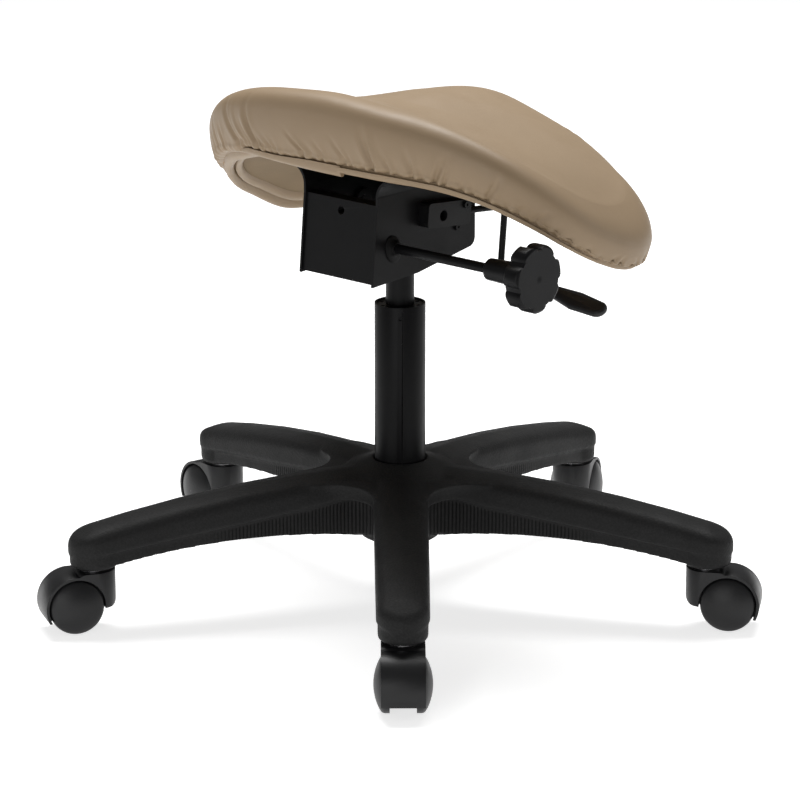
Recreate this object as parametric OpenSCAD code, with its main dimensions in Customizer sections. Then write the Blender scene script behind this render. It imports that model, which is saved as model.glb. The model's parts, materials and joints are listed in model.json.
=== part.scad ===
// Saddle drafting stool on a five-star base, in millimetres.
// The origin is on the floor under the column. +X is the sitter's right, +Y is forward, +Z is up.
// The column is shown fully down and the seat level.

/* [Casters] */
// Diameter of each wheel
wheel_d = 54; // [44:1:64]
// Width over both wheels of a caster
caster_w = 55; // [50:0.5:62]
// Width of one wheel
wheel_w = 15; // [12:0.5:17]
// Distance from the stem to the axle
trail = 22; // [18:0.5:26]
// Width of the hood over the wheels
hood_w = 41; // [38:0.5:46]
// Thickness of the web between the wheels
web_t = 22; // [16:0.5:23]
// Gap between a tread and the hood
tread_gap = 1.2; // [0.8:0.1:2]
// Wall of the hood over the treads
hood_wall = 2.6; // [2:0.1:3.5]
// Diameter of the axle
axle_d = 8; // [6:0.5:10]
// Diameter of the caster stem
stem_d = 11; // [10:0.5:12]
// Length of stem inside the leg
stem_grip = 32; // [24:1:36]
// Open neck between a hood and the leg above it
neck_h = 2.5; // [2:0.5:8]
/* [Base] */
// Distance from the column to each caster stem
base_r = 313; // [280:1:340]
// Direction of the first leg, in degrees from +X
leg_turn = -47.5; // [-72:0.5:72]
// Half width of a leg at the hub
leg_half_hub = 27.5; // [25:0.5:31]
// Half width of a leg at its tip
leg_half_tip = 25; // [23:0.5:26]
// Height of the crowned cap along a leg
leg_cap_h = 22.5; // [20:0.5:30]
// Height of the skirt under a leg's tip
skirt_h = 17.5; // [10:0.5:20]
// Rise of a leg from its tip to the hub
leg_rise = 35.5; // [20:1:50]
// Thickness of the web under a leg's cap
leg_web_t = 40; // [34:1:46]
// Rise of the arch under a leg above its tip
leg_arch_h = 17; // [10:0.5:22]
// Height of the hub that holds the column
hub_h = 75; // [60:1:80]
// Diameter of the hub
hub_d = 78; // [70:1:90]
/* [Column] */
// Diameter of the outer tube
tube_d = 50; // [46:1:54]
// Wall of the outer tube
tube_wall = 2; // [1.5:0.1:3]
// Length of the outer tube
tube_l = 241; // [225:1:280]
// Length of the guide bush
bush_l = 78; // [60:1:90]
// Diameter of the gas cylinder
cyl_d = 28; // [26:0.5:30]
// Length of bare cylinder between the tube and the socket
cyl_show = 37.7; // [32:0.1:60]
// Travel of the seat height
lift = 120; // [90:5:125]
// Length of the cylinder's tapered end
taper_l = 48; // [40:1:55]
// Diameter lost along the tapered end
taper_fall = 1.6; // [1:0.1:2]
// Diameter of the piston rod
rod_d = 10; // [8:0.5:12]
// Diameter of the release button
button_d = 8; // [6:0.5:9]
/* [Seat bracket] */
// Width over the bracket's side walls
shell_w = 96; // [88:1:110]
// Thickness of the bracket's sheet
shell_t = 2.5; // [2:0.1:3]
// Distance from the column back to the end plate
shell_rear = 83; // [80:1:95]
// Distance from the column forward to the bracket's front
shell_front = 56; // [50:1:70]
// Height of the end plate
plate_h = 76; // [70:1:80]
// Lean of the end plate, in degrees
plate_lean = 5.3; // [0:0.1:7]
// Hole in the end plate for a back bracket
back_hole_d = 8; // [6:0.5:10]
// Height of the walls from the seat down to their low rear corner
wall_rear_h = 106; // [102:1:112]
// Height of the walls from the seat down to their low front corner
wall_front_h = 91; // [84:1:96]
// Radius of the outward flare at the top of the walls
flare_r = 18; // [14:1:20]
/* [Tilt] */
// Forward tilt of the seat, in degrees
tilt_fwd = 8; // [4:0.5:8]
// Backward tilt of the seat, in degrees
tilt_back = 5; // [3:0.5:6]
// Distance from the tilt pivot back to the clamp rod
clamp_back = 59; // [54:1:62]
// Distance from the tilt pivot down to the clamp rod
clamp_drop = 23; // [20:1:26]
// Diameter of the clamp rod's sleeve
sleeve_d = 9.5; // [9:0.1:10.5]
// Diameter of the clamp rod's core
core_d = 8; // [7:0.1:8.5]
// Distance from the column to the end of the knob
knob_reach = 231; // [220:1:245]
// Diameter over the knob's lobes
knob_d = 66; // [58:1:70]
// Thickness of the knob's lobed head
knob_t = 18; // [14:0.5:22]
// Diameter of the knob's hub
knob_hub_d = 21; // [18:0.5:24]
// Length of the knob's hub
knob_hub_l = 44; // [36:1:50]
// Number of lobes on the knob
knob_lobes = 7; // [5:1:9]
/* [Height lever] */
// Diameter of the lever rod
lever_d = 6.5; // [6:0.1:8]
// Downward slope of the lever's axis to the front, in degrees
lever_slope = 5.5; // [0:0.5:7]
// Distance from the column forward to the lever's drop
lever_front = 93; // [86:1:100]
// Length of the lever's drop
lever_drop = 66; // [56:1:70]
// Distance from the column out to the tip of the paddle
lever_reach = 192; // [180:1:200]
// Length of the paddle
paddle_l = 78; // [70:1:84]
// Width of the paddle
paddle_w = 23; // [18:0.5:28]
// Twist of the paddle towards the back, in degrees
paddle_twist = 32; // [0:1:40]
// Length of the lever's bearing block
block_l = 62; // [58:1:66]
// Height of the bearing block
block_h = 24; // [20:0.5:26]
// Thickness of the bearing block
block_t = 13; // [12:0.5:16]
/* [Seat] */
// Half width of the seat
seat_half_w = 239; // [225:1:260]
// Half depth of the seat
seat_half_d = 148; // [135:1:160]
// Distance of the seat's middle in front of the column
seat_fwd = 29.5; // [10:0.5:34]
// Height of the seat's middle above the board's underside
seat_mid_h = 56.5; // [50:0.5:70]
// Height by which the seat's crest falls from its middle to the front, and rises to the rear
crest_run = 35; // [20:1:38]
// Drop of the seat's flanks at half depth
flank_drop = 69.5; // [45:0.5:75]
// Further drop of the seat's ends
end_drop = 15; // [8:0.5:20]
// Drop of the board's ends at half depth
board_drop = 80.5; // [55:0.5:90]
// Thickness of the plywood board
board_t = 11; // [9:0.5:14]
// Radius of the cushion's top edge
edge_r = 42; // [30:1:46]
// Width of the cover turned under the board
hem_w = 34; // [28:1:42]
/* [Hidden] */
CASTERS = 5;
$fn = 96;
// Overrun of a cut past the face it starts from
cut = 1;
// Radial clearance of a running fit
run = 0.05;
// Gap between faces of pieces that move past each other
gap = 0.3;
// Swing of each caster away from its leg, in degrees
swing = [0, 8, 20, 0, 0];
// Colours
black_nylon = [0.10, 0.10, 0.105];
black_steel = [0.08, 0.08, 0.085];
bright_steel = [0.62, 0.62, 0.64];
tan_vinyl = [0.57, 0.50, 0.41];
plywood = [0.72, 0.58, 0.40];

// Heights from the floor up to the hub
wheel_r = wheel_d / 2;
hood_r = wheel_r + tread_gap + hood_wall;
hood_half = hood_w / 2;
hood_step = 2;
hood_top = wheel_r + hood_r + hood_step;
tip_z = hood_top + neck_h;
lip_z = tip_z + skirt_h;
tip_top = lip_z + leg_cap_h;
hub_top = tip_top + leg_rise;
hub_low = hub_top - hub_h;
// Heights along the column
tube_foot = 3.5;
tube_z = hub_low - tube_foot;
tube_top = tube_z + tube_l;
tube_plate = 3;
bearing_h = 7;
collar_h = 3;
buffer_h = 4.7;
cyl_z = tube_z + tube_plate + bearing_h + collar_h + buffer_h + gap;
socket_z = tube_top + cyl_show;
cyl_top = socket_z + taper_l;
// Places in the mechanism, side view points are [forward, up]
pivot_back = 5;
pivot_rise = 11.5;
pivot_at = [-pivot_back, cyl_top + pivot_rise];
pivot_d = 8;
clamp_at = pivot_at - [clamp_back, clamp_drop];
seat_rise = 61;
seat_z = cyl_top + seat_rise;
cloth_t = 1;
shell_z = seat_z - cloth_t;
plate_drop = 28;
plate_top = shell_z - plate_drop;
plate_low = plate_top - plate_h;
wall_x = shell_w / 2;
lever_x = wall_x + block_t / 2;
lever_rise = 12;
lever_z = cyl_top + lever_rise;
knob_x = knob_reach - knob_t;
hub_x = knob_x - knob_hub_l;

function leg_angle(k) = leg_turn + k * 360 / CASTERS;
function arc(mid, r, from, to, steps = 8) =
    [for (i = [0:steps]) let (a = from + (to - from) * i / steps) mid + r * [cos(a), sin(a)]];

// Rectangle with round corners that keeps true arcs
module soft_rect(size, r) {
    translate([r, 0]) square([size.x - 2 * r, size.y]);
    translate([0, r]) square([size.x, size.y - 2 * r]);
    for (x = [r, size.x - r], y = [r, size.y - r])
        translate([x, y]) circle(r);
}

// Extrudes a drawing of [forward, up] sideways from x0 to x1
module side_extrude(x0, x1)
    translate([x0, 0, 0]) rotate([90, 0, 90]) linear_extrude(x1 - x0) children();

// Cylinder that lies along X from x0 to x1 at a [forward, up] point
module cross_pin(at, d, x0, x1)
    translate([x0, at.x, at.y]) rotate([0, 90, 0]) cylinder(h = x1 - x0, d = d);

// Caster pieces, drawn with the stem on Z and the wheels out along +X
module place_caster(k)
    rotate(leg_angle(k)) translate([base_r, 0, 0]) rotate(swing[k]) children();

housing_low = 24;
housing_corner = 9;
boss_r = 9;
hood_end_low = 10;
module hood_side() {
    difference() {
        union() {
            translate([trail, wheel_r]) circle(hood_r);
            translate([-hood_half, housing_low])
                soft_rect([hood_half + trail, hood_top - housing_low], housing_corner);
            translate([-hood_half, housing_low + housing_corner])
                square([hood_half + trail / 2, hood_top - housing_low - housing_corner]);
        }
        polygon([[-hood_half - cut, housing_low], [trail - boss_r, housing_low], [trail, wheel_r - boss_r],
            [trail + hood_r + cut, wheel_r - hood_end_low - boss_r / 2],
            [trail + hood_r + cut, -cut], [-hood_half - cut, -cut]]);
    }
}
module caster_hood(k) {
    color(black_nylon) place_caster(k) difference() {
        intersection() {
            linear_extrude(hood_top) {
                circle(hood_half);
                translate([0, -hood_half]) square([trail + hood_r + cut, hood_w]);
            }
            translate([0, hood_half + cut, 0]) rotate([90, 0, 0])
                linear_extrude(hood_w + 2 * cut) hood_side();
        }
        for (side = [-1, 1])
            translate([trail, side * (web_t / 2 + hood_half), wheel_r]) rotate([90, 0, 0])
                cylinder(h = 2 * hood_half, r = wheel_r + tread_gap, center = true);
        translate([trail, 0, wheel_r]) rotate([90, 0, 0])
            cylinder(h = web_t + 2 * cut, d = axle_d, center = true);
        translate([0, 0, hood_top - stem_seat]) cylinder(h = stem_seat + cut, d = stem_d);
    }
}
stem_seat = 20;
flange_d = 28;
flange_h = 1.2;
shoulder_d = 20;
shoulder_h = neck_h - gap;
ring_groove_h = 3;
ring_groove_deep = 0.8;
module caster_stem(k) {
    color(bright_steel) place_caster(k) rotate_extrude() polygon([
        [0, hood_top - stem_seat], [stem_d / 2, hood_top - stem_seat], [stem_d / 2, hood_top],
        [flange_d / 2, hood_top], [flange_d / 2, hood_top + flange_h], [shoulder_d / 2, hood_top + flange_h],
        [shoulder_d / 2, hood_top + shoulder_h], [stem_d / 2, hood_top + shoulder_h],
        [stem_d / 2, tip_z + stem_grip - 3 * ring_groove_h],
        [stem_d / 2 - ring_groove_deep, tip_z + stem_grip - 3 * ring_groove_h],
        [stem_d / 2 - ring_groove_deep, tip_z + stem_grip - 2 * ring_groove_h],
        [stem_d / 2, tip_z + stem_grip - 2 * ring_groove_h],
        [stem_d / 2, tip_z + stem_grip - ring_groove_deep],
        [stem_d / 2 - ring_groove_deep, tip_z + stem_grip], [0, tip_z + stem_grip]]);
}
axle_in_wheel = 11;
wheel_in = caster_w / 2 - wheel_w;
module caster_axle(k) {
    color(bright_steel) place_caster(k) translate([trail, 0, wheel_r]) rotate([90, 0, 0])
        cylinder(h = 2 * (wheel_in + axle_in_wheel), d = axle_d, center = true);
}
tread_share = 0.27;
crown_share = 0.33;
dome_share = 1.85;
wheel_hub_r = 7.5;
rim_t = 4;
hollow_deep = 6;
// Wheel profile as [radius, distance from the inner face]
module wheel_profile() {
    crown = wheel_w * crown_share;
    dome = wheel_r * dome_share;
    difference() {
        polygon(concat([[0, 0], [wheel_r, 0]],
            arc([wheel_r - crown, wheel_w * tread_share], crown, 0, 60, 4),
            arc([0, wheel_w - dome], dome, acos((wheel_r - crown) / dome), 90, 6)));
        translate([wheel_hub_r, -cut]) square([wheel_r - rim_t - wheel_hub_r, hollow_deep + cut]);
        translate([-cut, -cut]) square([axle_d / 2 + run + cut, axle_in_wheel + gap + cut]);
    }
}
module caster_wheel(k, side) {
    color(black_nylon) place_caster(k) translate([trail, side * wheel_in, wheel_r])
        rotate([-side * 90, 0, 0]) rotate_extrude() wheel_profile();
}

// Base
tip_corner = 5;
lip_over = 1.5;
dome_edge = 11;
dome_crown = 3;
cap_shares = [0.16, 0.32, 0.5, 0.68, 0.85, 1];
function cap_fall(f) = f * f;
collar_rise = 5;
collar_lean = 14;
hub_plate_r = 56;
hub_edge = 9;
hub_crown = 2;
ring_w = 1.5;
ring_deep = 3;
web_start = 30;
web_end_in = 5;
stem_hole_extra = 2;
module leg_dome(half, low, high) {
    rotate_extrude($fn = 32) polygon(concat([[0, low], [half, low]],
        arc([half - dome_edge, high - dome_crown - dome_edge], dome_edge, 0, 80, 5), [[0, high]]));
}
module leg_cap() {
    hull() {
        for (f = cap_shares) translate([base_r * f, 0, 0])
            leg_dome(leg_half_hub + (leg_half_tip - leg_half_hub) * f,
                hub_top - leg_rise * cap_fall(f) - leg_cap_h, hub_top - leg_rise * cap_fall(f));
    }
}
module leg_web() {
    arch_x = base_r / 2;
    arch_r = (pow(base_r / 2, 2) + pow(leg_arch_h, 2)) / (2 * leg_arch_h);
    rotate([90, 0, 0]) linear_extrude(leg_web_t, center = true) difference() {
        polygon([[web_start, hub_low], [hub_d / 2, hub_low], [base_r - leg_half_tip, tip_z],
            [base_r - web_end_in, tip_z], [base_r - web_end_in, lip_z + cut],
            [web_start, hub_top - leg_cap_h + cut]]);
        translate([arch_x, tip_z + leg_arch_h - arch_r]) circle(arch_r, $fn = 240);
    }
}
module leg_tip() {
    skirt_r = leg_half_tip - lip_over;
    rotate_extrude() polygon(concat([[0, tip_z]],
        arc([skirt_r - tip_corner, tip_z + tip_corner], tip_corner, -90, 0),
        [[skirt_r, lip_z + cut], [0, lip_z + cut]]));
}
module hub() {
    plate_z = hub_top - leg_cap_h;
    rotate_extrude() polygon(concat(
        [[0, hub_low], [hub_d / 2, hub_low], [hub_d / 2, plate_z], [hub_plate_r, plate_z]],
        arc([hub_plate_r - hub_edge, hub_top - hub_crown - hub_edge], hub_edge, 0, 90 - collar_lean, 5),
        [[tube_d / 2 + ring_w + gap, hub_top + collar_rise], [0, hub_top + collar_rise]]));
}
module star_base() {
    color(black_nylon) difference() {
        union() {
            for (k = [0:CASTERS - 1]) rotate(leg_angle(k)) {
                leg_cap();
                leg_web();
                translate([base_r, 0, 0]) leg_tip();
            }
            hub();
        }
        translate([0, 0, hub_low - cut]) cylinder(h = hub_h + collar_rise + 2 * cut, d = tube_d);
        translate([0, 0, hub_top + collar_rise - ring_deep])
            cylinder(h = ring_deep + cut, d = tube_d + 2 * ring_w);
        for (k = [0:CASTERS - 1]) rotate(leg_angle(k)) translate([base_r, 0, tip_z - cut])
            cylinder(h = stem_grip + stem_hole_extra + cut, d = stem_d + 2 * run);
    }
}

// Column
dimple_d = 5;
dimple_down = 11;
dimple_deep = 1;
dimples = 4;
rod_hole_d = rod_d + 2 * run;
module outer_tube() {
    color(black_steel) difference() {
        translate([0, 0, tube_z]) cylinder(h = tube_l, d = tube_d);
        translate([0, 0, tube_z + tube_plate]) cylinder(h = tube_l, d = tube_d - 2 * tube_wall);
        translate([0, 0, tube_z - cut]) cylinder(h = tube_plate + 2 * cut, d = rod_hole_d);
        for (i = [0:dimples - 1]) rotate(i * 360 / dimples + leg_turn)
            translate([tube_d / 2 + dimple_d / 2 - dimple_deep, 0, tube_top - dimple_down])
                sphere(d = dimple_d, $fn = 24);
    }
}
bush_drop = 1.5;
bush_ring = 1.5;
bush_notches = 8;
bush_notch_w = 4;
module guide_bush() {
    color(black_nylon) difference() {
        translate([0, 0, tube_top - bush_drop - bush_l]) cylinder(h = bush_l, d = tube_d - 2 * tube_wall);
        translate([0, 0, tube_top - bush_drop - bush_l - cut])
            cylinder(h = bush_l + 2 * cut, d = cyl_d + 2 * run);
        for (i = [0:bush_notches - 1]) rotate((i + 0.5) * 360 / bush_notches)
            translate([(tube_d - 2 * tube_wall + cyl_d) / 4, 0, tube_top - bush_drop - bush_ring])
                cylinder(h = bush_ring + cut, d = bush_notch_w);
    }
}
race_t = 1.6;
race_d = 26;
balls = 12;
module thrust_bearing() {
    z0 = tube_z + tube_plate;
    ball_r = (bearing_h - 2 * race_t) / 2;
    color(bright_steel) {
        for (z = [z0, z0 + bearing_h - race_t]) translate([0, 0, z]) difference() {
            cylinder(h = race_t, d = race_d);
            translate([0, 0, -cut]) cylinder(h = race_t + 2 * cut, d = rod_hole_d);
        }
        for (i = [0:balls - 1]) rotate(i * 360 / balls)
            translate([(race_d + rod_hole_d) / 4, 0, z0 + race_t + ball_r]) sphere(ball_r - run, $fn = 24);
    }
}
rod_foot = 6;
clip_t = 1.5;
clip_d = 18;
groove_deep = 1;
rod_collar_d = 17;
piston_h = 12;
gland_h = 12;
bore_d = 23;
head_h = 16;
clip_z = tube_z - gap - clip_t;
piston_z = cyl_z + gland_h + lift + cut;
module piston_rod() {
    color(bright_steel) difference() {
        union() {
            translate([0, 0, tube_z - rod_foot]) cylinder(h = piston_z - tube_z + rod_foot, d = rod_d);
            translate([0, 0, tube_z + tube_plate + bearing_h + run])
                cylinder(h = collar_h - run, d = rod_collar_d);
            translate([0, 0, piston_z]) cylinder(h = piston_h, d = bore_d - 2 * run);
        }
        translate([0, 0, clip_z]) difference() {
            cylinder(h = clip_t, d = rod_d + 2 * cut);
            translate([0, 0, -cut]) cylinder(h = clip_t + 2 * cut, d = rod_d - 2 * groove_deep);
        }
    }
}
module retaining_clip() {
    color(bright_steel) translate([0, 0, clip_z]) linear_extrude(clip_t) difference() {
        circle(d = clip_d);
        circle(d = rod_d - 2 * groove_deep);
        translate([0, -rod_d / 2 + groove_deep]) square([clip_d, rod_d - 2 * groove_deep]);
    }
}
module buffer_ring() {
    color("dimgray") translate([0, 0, tube_z + tube_plate + bearing_h + collar_h]) rotate_extrude()
        translate([rod_d / 2, 0]) soft_rect([(clip_d + buffer_h - rod_d) / 2, buffer_h], buffer_h / 4);
}
module taper()
    cylinder(h = taper_l, d1 = cyl_d, d2 = cyl_d - taper_fall);
module gas_cylinder() {
    color(black_steel) difference() {
        union() {
            translate([0, 0, cyl_z]) cylinder(h = socket_z - cyl_z, d = cyl_d);
            translate([0, 0, socket_z]) taper();
        }
        translate([0, 0, cyl_z + gland_h]) cylinder(h = cyl_top - head_h - cyl_z - gland_h, d = bore_d);
        translate([0, 0, cyl_z - cut]) cylinder(h = gland_h + 2 * cut, d = rod_hole_d);
        translate([0, 0, cyl_top - head_h - cut]) cylinder(h = head_h + 2 * cut, d = button_d + 2 * run);
    }
}
button_show = 8.2;
button_tip = 1;
module release_button() {
    color(bright_steel) translate([0, 0, cyl_top - head_h + gap]) {
        cylinder(h = head_h + button_show - gap - button_tip, d = button_d);
        translate([0, 0, head_h + button_show - gap - button_tip])
            cylinder(h = button_tip, d1 = button_d, d2 = button_d - 2 * button_tip);
    }
}

// Inner housing that sits on the cylinder
cheek_t = 2.5;
cheek_x = wall_x - shell_t - gap;
floor_drop = 30;
floor_z = cyl_top - floor_drop;
cheek_back = 72;
cheek_front = 32;
ear_half = 11;
ear_front = 7;
cheek_mid_drop = 24;
socket_d = 36;
module cheek_profile() {
    difference() {
        union() {
            polygon([[-cheek_back, floor_z], [cheek_front, floor_z],
                [cheek_front, pivot_at.y - cheek_mid_drop + ear_front], [ear_front, pivot_at.y - ear_half],
                [pivot_at.x - ear_half, pivot_at.y - ear_half / 2], [-cheek_back, clamp_at.y + ear_half]]);
            translate([pivot_at.x, pivot_at.y]) circle(ear_half);
            translate([pivot_at.x - ear_half, floor_z]) square([2 * ear_half, pivot_at.y - floor_z]);
        }
        translate(pivot_at) circle(d = pivot_d + 2 * run);
        translate(clamp_at) circle(d = core_d + 2 * run);
    }
}
module socket_housing() {
    color(black_steel) difference() {
        union() {
            for (side = [0, 1]) mirror([side, 0, 0])
                side_extrude(cheek_x - cheek_t, cheek_x) cheek_profile();
            translate([-cheek_x + cut, -cheek_back, floor_z])
                cube([2 * (cheek_x - cut), cheek_back + cheek_front, cheek_t]);
            translate([0, 0, socket_z]) cylinder(h = taper_l - cheek_t, d = socket_d);
        }
        translate([0, 0, socket_z]) taper();
    }
}
nut_h = 6.5;
nut_d = 15;
washer_t = 1.6;
washer_d = 22;
module clamp_washer() {
    color(bright_steel) difference() {
        cross_pin(clamp_at, washer_d, -wall_x - gap - washer_t, -wall_x - gap);
        cross_pin(clamp_at, core_d + 2 * run, -wall_x - gap - washer_t - cut, -wall_x - gap + cut);
    }
}
module clamp_nut() {
    x1 = -wall_x - gap - washer_t;
    color(bright_steel) difference() {
        translate([x1 - nut_h, clamp_at.x, clamp_at.y]) rotate([0, 90, 0])
            cylinder(h = nut_h, d = nut_d, $fn = 6);
        cross_pin(clamp_at, core_d + 2 * run, x1 - nut_h - cut, x1 + cut);
    }
}
rod_end = 3;
rod_in_knob = 18;
module clamp_rod() {
    x1 = -wall_x - gap - washer_t - nut_h;
    color(black_steel) {
        cross_pin(clamp_at, core_d, x1 - rod_end, cheek_x + gap);
        cross_pin(clamp_at, sleeve_d, cheek_x + gap, hub_x + rod_in_knob);
    }
}
lobe_r = 10.5;
valley_r = 9;
knob_edge = 4;
waist_share = 0.2;
hub_chamfer = 2;
knob_flare = 5;
// Lobed outline of the knob
module knob_outline() {
    ring = knob_d / 2 - lobe_r;
    difference() {
        union() {
            circle(ring + lobe_r / 2);
            for (i = [0:knob_lobes - 1]) rotate(i * 360 / knob_lobes) translate([ring, 0]) circle(lobe_r);
        }
        for (i = [0:knob_lobes - 1]) rotate((i + 0.5) * 360 / knob_lobes)
            translate([knob_d / 2 + valley_r / 2, 0]) circle(valley_r);
    }
}
module clamp_knob() {
    color(black_nylon) translate([hub_x, clamp_at.x, clamp_at.y]) rotate([0, 90, 0]) difference() {
        union() {
            intersection() {
                translate([0, 0, knob_hub_l]) linear_extrude(knob_t) knob_outline();
                rotate_extrude() polygon(concat([[0, knob_hub_l]],
                    arc([knob_d / 2 - knob_edge, knob_hub_l + knob_edge], knob_edge, -90, 0),
                    arc([knob_d / 2 - knob_edge, knob_hub_l + knob_t - knob_edge], knob_edge, 0, 80),
                    [[0, knob_hub_l + knob_t]]));
            }
            rotate_extrude() polygon([[0, 0], [knob_hub_d / 2 - hub_chamfer, 0],
                [knob_hub_d / 2, hub_chamfer],
                [knob_hub_d / 2 + knob_flare * waist_share, knob_hub_l - knob_flare * 2],
                [knob_hub_d / 2 + knob_flare, knob_hub_l + cut], [0, knob_hub_l + cut]]);
        }
        translate([0, 0, -cut]) cylinder(h = rod_in_knob + cut, d = sleeve_d);
    }
}

// Pressed bracket that carries the seat
lip_deep = 15;
plate_in = 2;
wall_corner = 9;
ear_w = 34;
ear_out = 18;
ear_back = 52;
ear_fore = 18;
bolt_in = 9;
flange_w = 4;
toe_share = 0.33;
toe_lift_share = 1.5;
plate_foot = shell_rear + plate_h * tan(plate_lean);
module wall_profile() {
    low_front = shell_z - wall_front_h;
    low_rear = shell_z - wall_rear_h;
    polygon(concat(
        [[-plate_foot - plate_in, low_rear], [-shell_rear - plate_in, plate_top],
         [-shell_rear - plate_in, shell_z + cut], [shell_front, shell_z + cut]],
        arc([shell_front - wall_corner, low_front + wall_corner], wall_corner, 0, -75),
        [[-shell_rear * toe_share, low_rear + plate_in * toe_lift_share]]));
}
module flare_section() {
    flare_z = shell_z - flare_r - shell_t;
    low = plate_low - wall_rear_h;
    mid = [wall_x + flare_r, flare_z];
    polygon(concat([[wall_x - shell_t, low]], arc(mid, flare_r + shell_t, 180, 90, 16),
        [[mid.x + flange_w, shell_z], [mid.x + flange_w, shell_z - shell_t]],
        arc(mid, flare_r, 90, 180, 16), [[wall_x, low]]));
}
// Slot along the path of the clamp rod as the seat tilts
slot_wide = sleeve_d + 2;
module clamp_slot() {
    reach = norm([clamp_back, clamp_drop]);
    rest = 180 + atan2(clamp_drop, clamp_back);
    half = slot_wide / 2;
    from = rest - tilt_back;
    to = rest + tilt_fwd;
    turn = 15;
    translate(pivot_at) polygon(concat(arc([0, 0], reach + half, from, to),
        arc(reach * [cos(to), sin(to)], half, to + turn, to + 180 - turn),
        arc([0, 0], reach - half, to, from),
        arc(reach * [cos(from), sin(from)], half, from + 180 + turn, from + 360 - turn)));
}
window_back = 6;
window_front = 26;
window_h = 15;
module seat_bracket() {
    color(black_steel) difference() {
        union() {
            intersection() {
                for (side = [0, 1]) mirror([side, 0, 0]) translate([0, shell_front + cut, 0])
                    rotate([90, 0, 0])
                        linear_extrude(shell_front + plate_foot + plate_in + 2 * cut) flare_section();
                side_extrude(-shell_w, shell_w) wall_profile();
            }
            side_extrude(-wall_x + cut, wall_x - cut) end_plate_profile();
            side_extrude(-wall_x + cut, wall_x - cut) front_plate_profile();
            translate([0, 0, shell_z - shell_t]) linear_extrude(shell_t) ears();
        }
        for (side = [0, 1]) mirror([side, 0, 0]) {
            side_extrude(wall_x - shell_t - cut, wall_x + cut) clamp_slot();
            cross_pin(pivot_at, pivot_d + 2 * run, wall_x - shell_t - cut, wall_x + cut);
        }
        side_extrude(wall_x - shell_t - cut, wall_x + cut) window();
        for (at = block_screw_places) cross_pin(at, screw_d, wall_x - shell_t - cut, wall_x + cut);
        back_hole();
        for (p = bolt_places) translate([p.x, p.y, shell_z - shell_t - cut])
            cylinder(h = shell_t + 2 * cut, d = bolt_d);
    }
}
module end_plate_profile() {
    d = [sin(plate_lean), cos(plate_lean)];
    low = [-plate_foot, plate_low];
    high = [-shell_rear, plate_top];
    polygon([low, high, high + [lip_deep, 0], high + [lip_deep, -shell_t],
        high + [shell_t / d.y, -shell_t], low + [shell_t / d.y, 0]]);
}
front_plate_h = 74;
module front_plate_profile()
    translate([shell_front - shell_t, shell_z - front_plate_h]) square([shell_t, front_plate_h]);
module ears() {
    start = wall_x + flare_r + flange_w / 2;
    for (side = [0, 1], y = [-ear_back, ear_fore]) mirror([side, 0]) translate([start, y]) {
        square([ear_out - bolt_in - flange_w / 2, ear_w]);
        translate([ear_out - bolt_in - flange_w / 2, bolt_in]) square([bolt_in, ear_w - 2 * bolt_in]);
        for (v = [bolt_in, ear_w - bolt_in])
            translate([ear_out - bolt_in - flange_w / 2, v]) circle(bolt_in);
    }
}
function tilted(y) = lever_z - y * tan(lever_slope);
module window()
    translate([window_back, tilted((window_back + window_front) / 2) - window_h / 2])
        square([window_front - window_back, window_h]);
module back_hole() {
    mid_z = back_hole_z;
    translate([0, -shell_rear - (plate_top - mid_z) * tan(plate_lean), mid_z])
        rotate([90 - plate_lean, 0, 0]) cylinder(h = 2 * lip_deep, d = back_hole_d, center = true);
}
back_hole_drop = 11;
back_hole_z = plate_top - back_hole_drop;

// Pivot bolts join the bracket to the inner housing
head_t = 4;
head_d = 10;
socket_key = 5;
module pivot_bolts() {
    color(black_steel) for (side = [0, 1]) mirror([side, 0, 0]) difference() {
        union() {
            cross_pin(pivot_at, pivot_d, cheek_x - cheek_t - gap, wall_x + gap);
            cross_pin(pivot_at, head_d, wall_x + gap, wall_x + gap + head_t);
        }
        translate([wall_x + gap + head_t / 2, pivot_at.x, pivot_at.y]) rotate([0, 90, 0])
            cylinder(h = head_t, d = socket_key, $fn = 6);
    }
}

// Bearing block of the height lever, drawn level and then sloped with the lever
block_back = 27;
block_corner = 4;
screw_d = 4;
screw_head_d = 7.5;
screw_head_h = 2.4;
screw_key_share = 0.7;
upper_screw = [27, 17];
lower_screw = [29, 7.5];
block_screw_places = [[upper_screw.x, cyl_top + upper_screw.y], [lower_screw.x, cyl_top - lower_screw.y]];
module in_slope()
    translate([lever_x, 0, lever_z]) rotate([-lever_slope, 0, 0]) children();
module lever_block() {
    color(black_nylon) difference() {
        in_slope() translate([-block_t / 2, 0, 0]) rotate([90, 0, 90]) linear_extrude(block_t)
            translate([-block_back, -block_h / 2]) soft_rect([block_l, block_h], block_corner);
        in_slope() rotate([-90, 0, 0]) translate([0, 0, rod_back])
            cylinder(h = block_l, d = lever_d + 2 * run);
        in_slope() translate([-block_t, window_back - gap, -window_h / 2])
            cube([block_t + lever_d / 4, window_front - window_back + 2 * gap, window_h]);
        cross_pin(pivot_at, head_d + 2 * gap, wall_x - cut, wall_x + block_t + cut);
        cross_pin(block_screw_places[0], screw_d, wall_x - cut, wall_x + block_t + cut);
    }
}
rod_back = 4;
module block_screws() {
    color(black_steel) for (i = [0, 1]) {
        at = block_screw_places[i];
        face = i == 0 ? wall_x + block_t : wall_x;
        difference() {
            union() {
                cross_pin(at, screw_d, wall_x - shell_t, face + cut);
                cross_pin(at, screw_head_d, face, face + screw_head_h);
            }
            translate([face + screw_head_h / 2, at.x, at.y]) rotate([0, 90, 0])
                cylinder(h = screw_head_h, d = screw_d * screw_key_share, $fn = 6);
        }
    }
}

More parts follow.
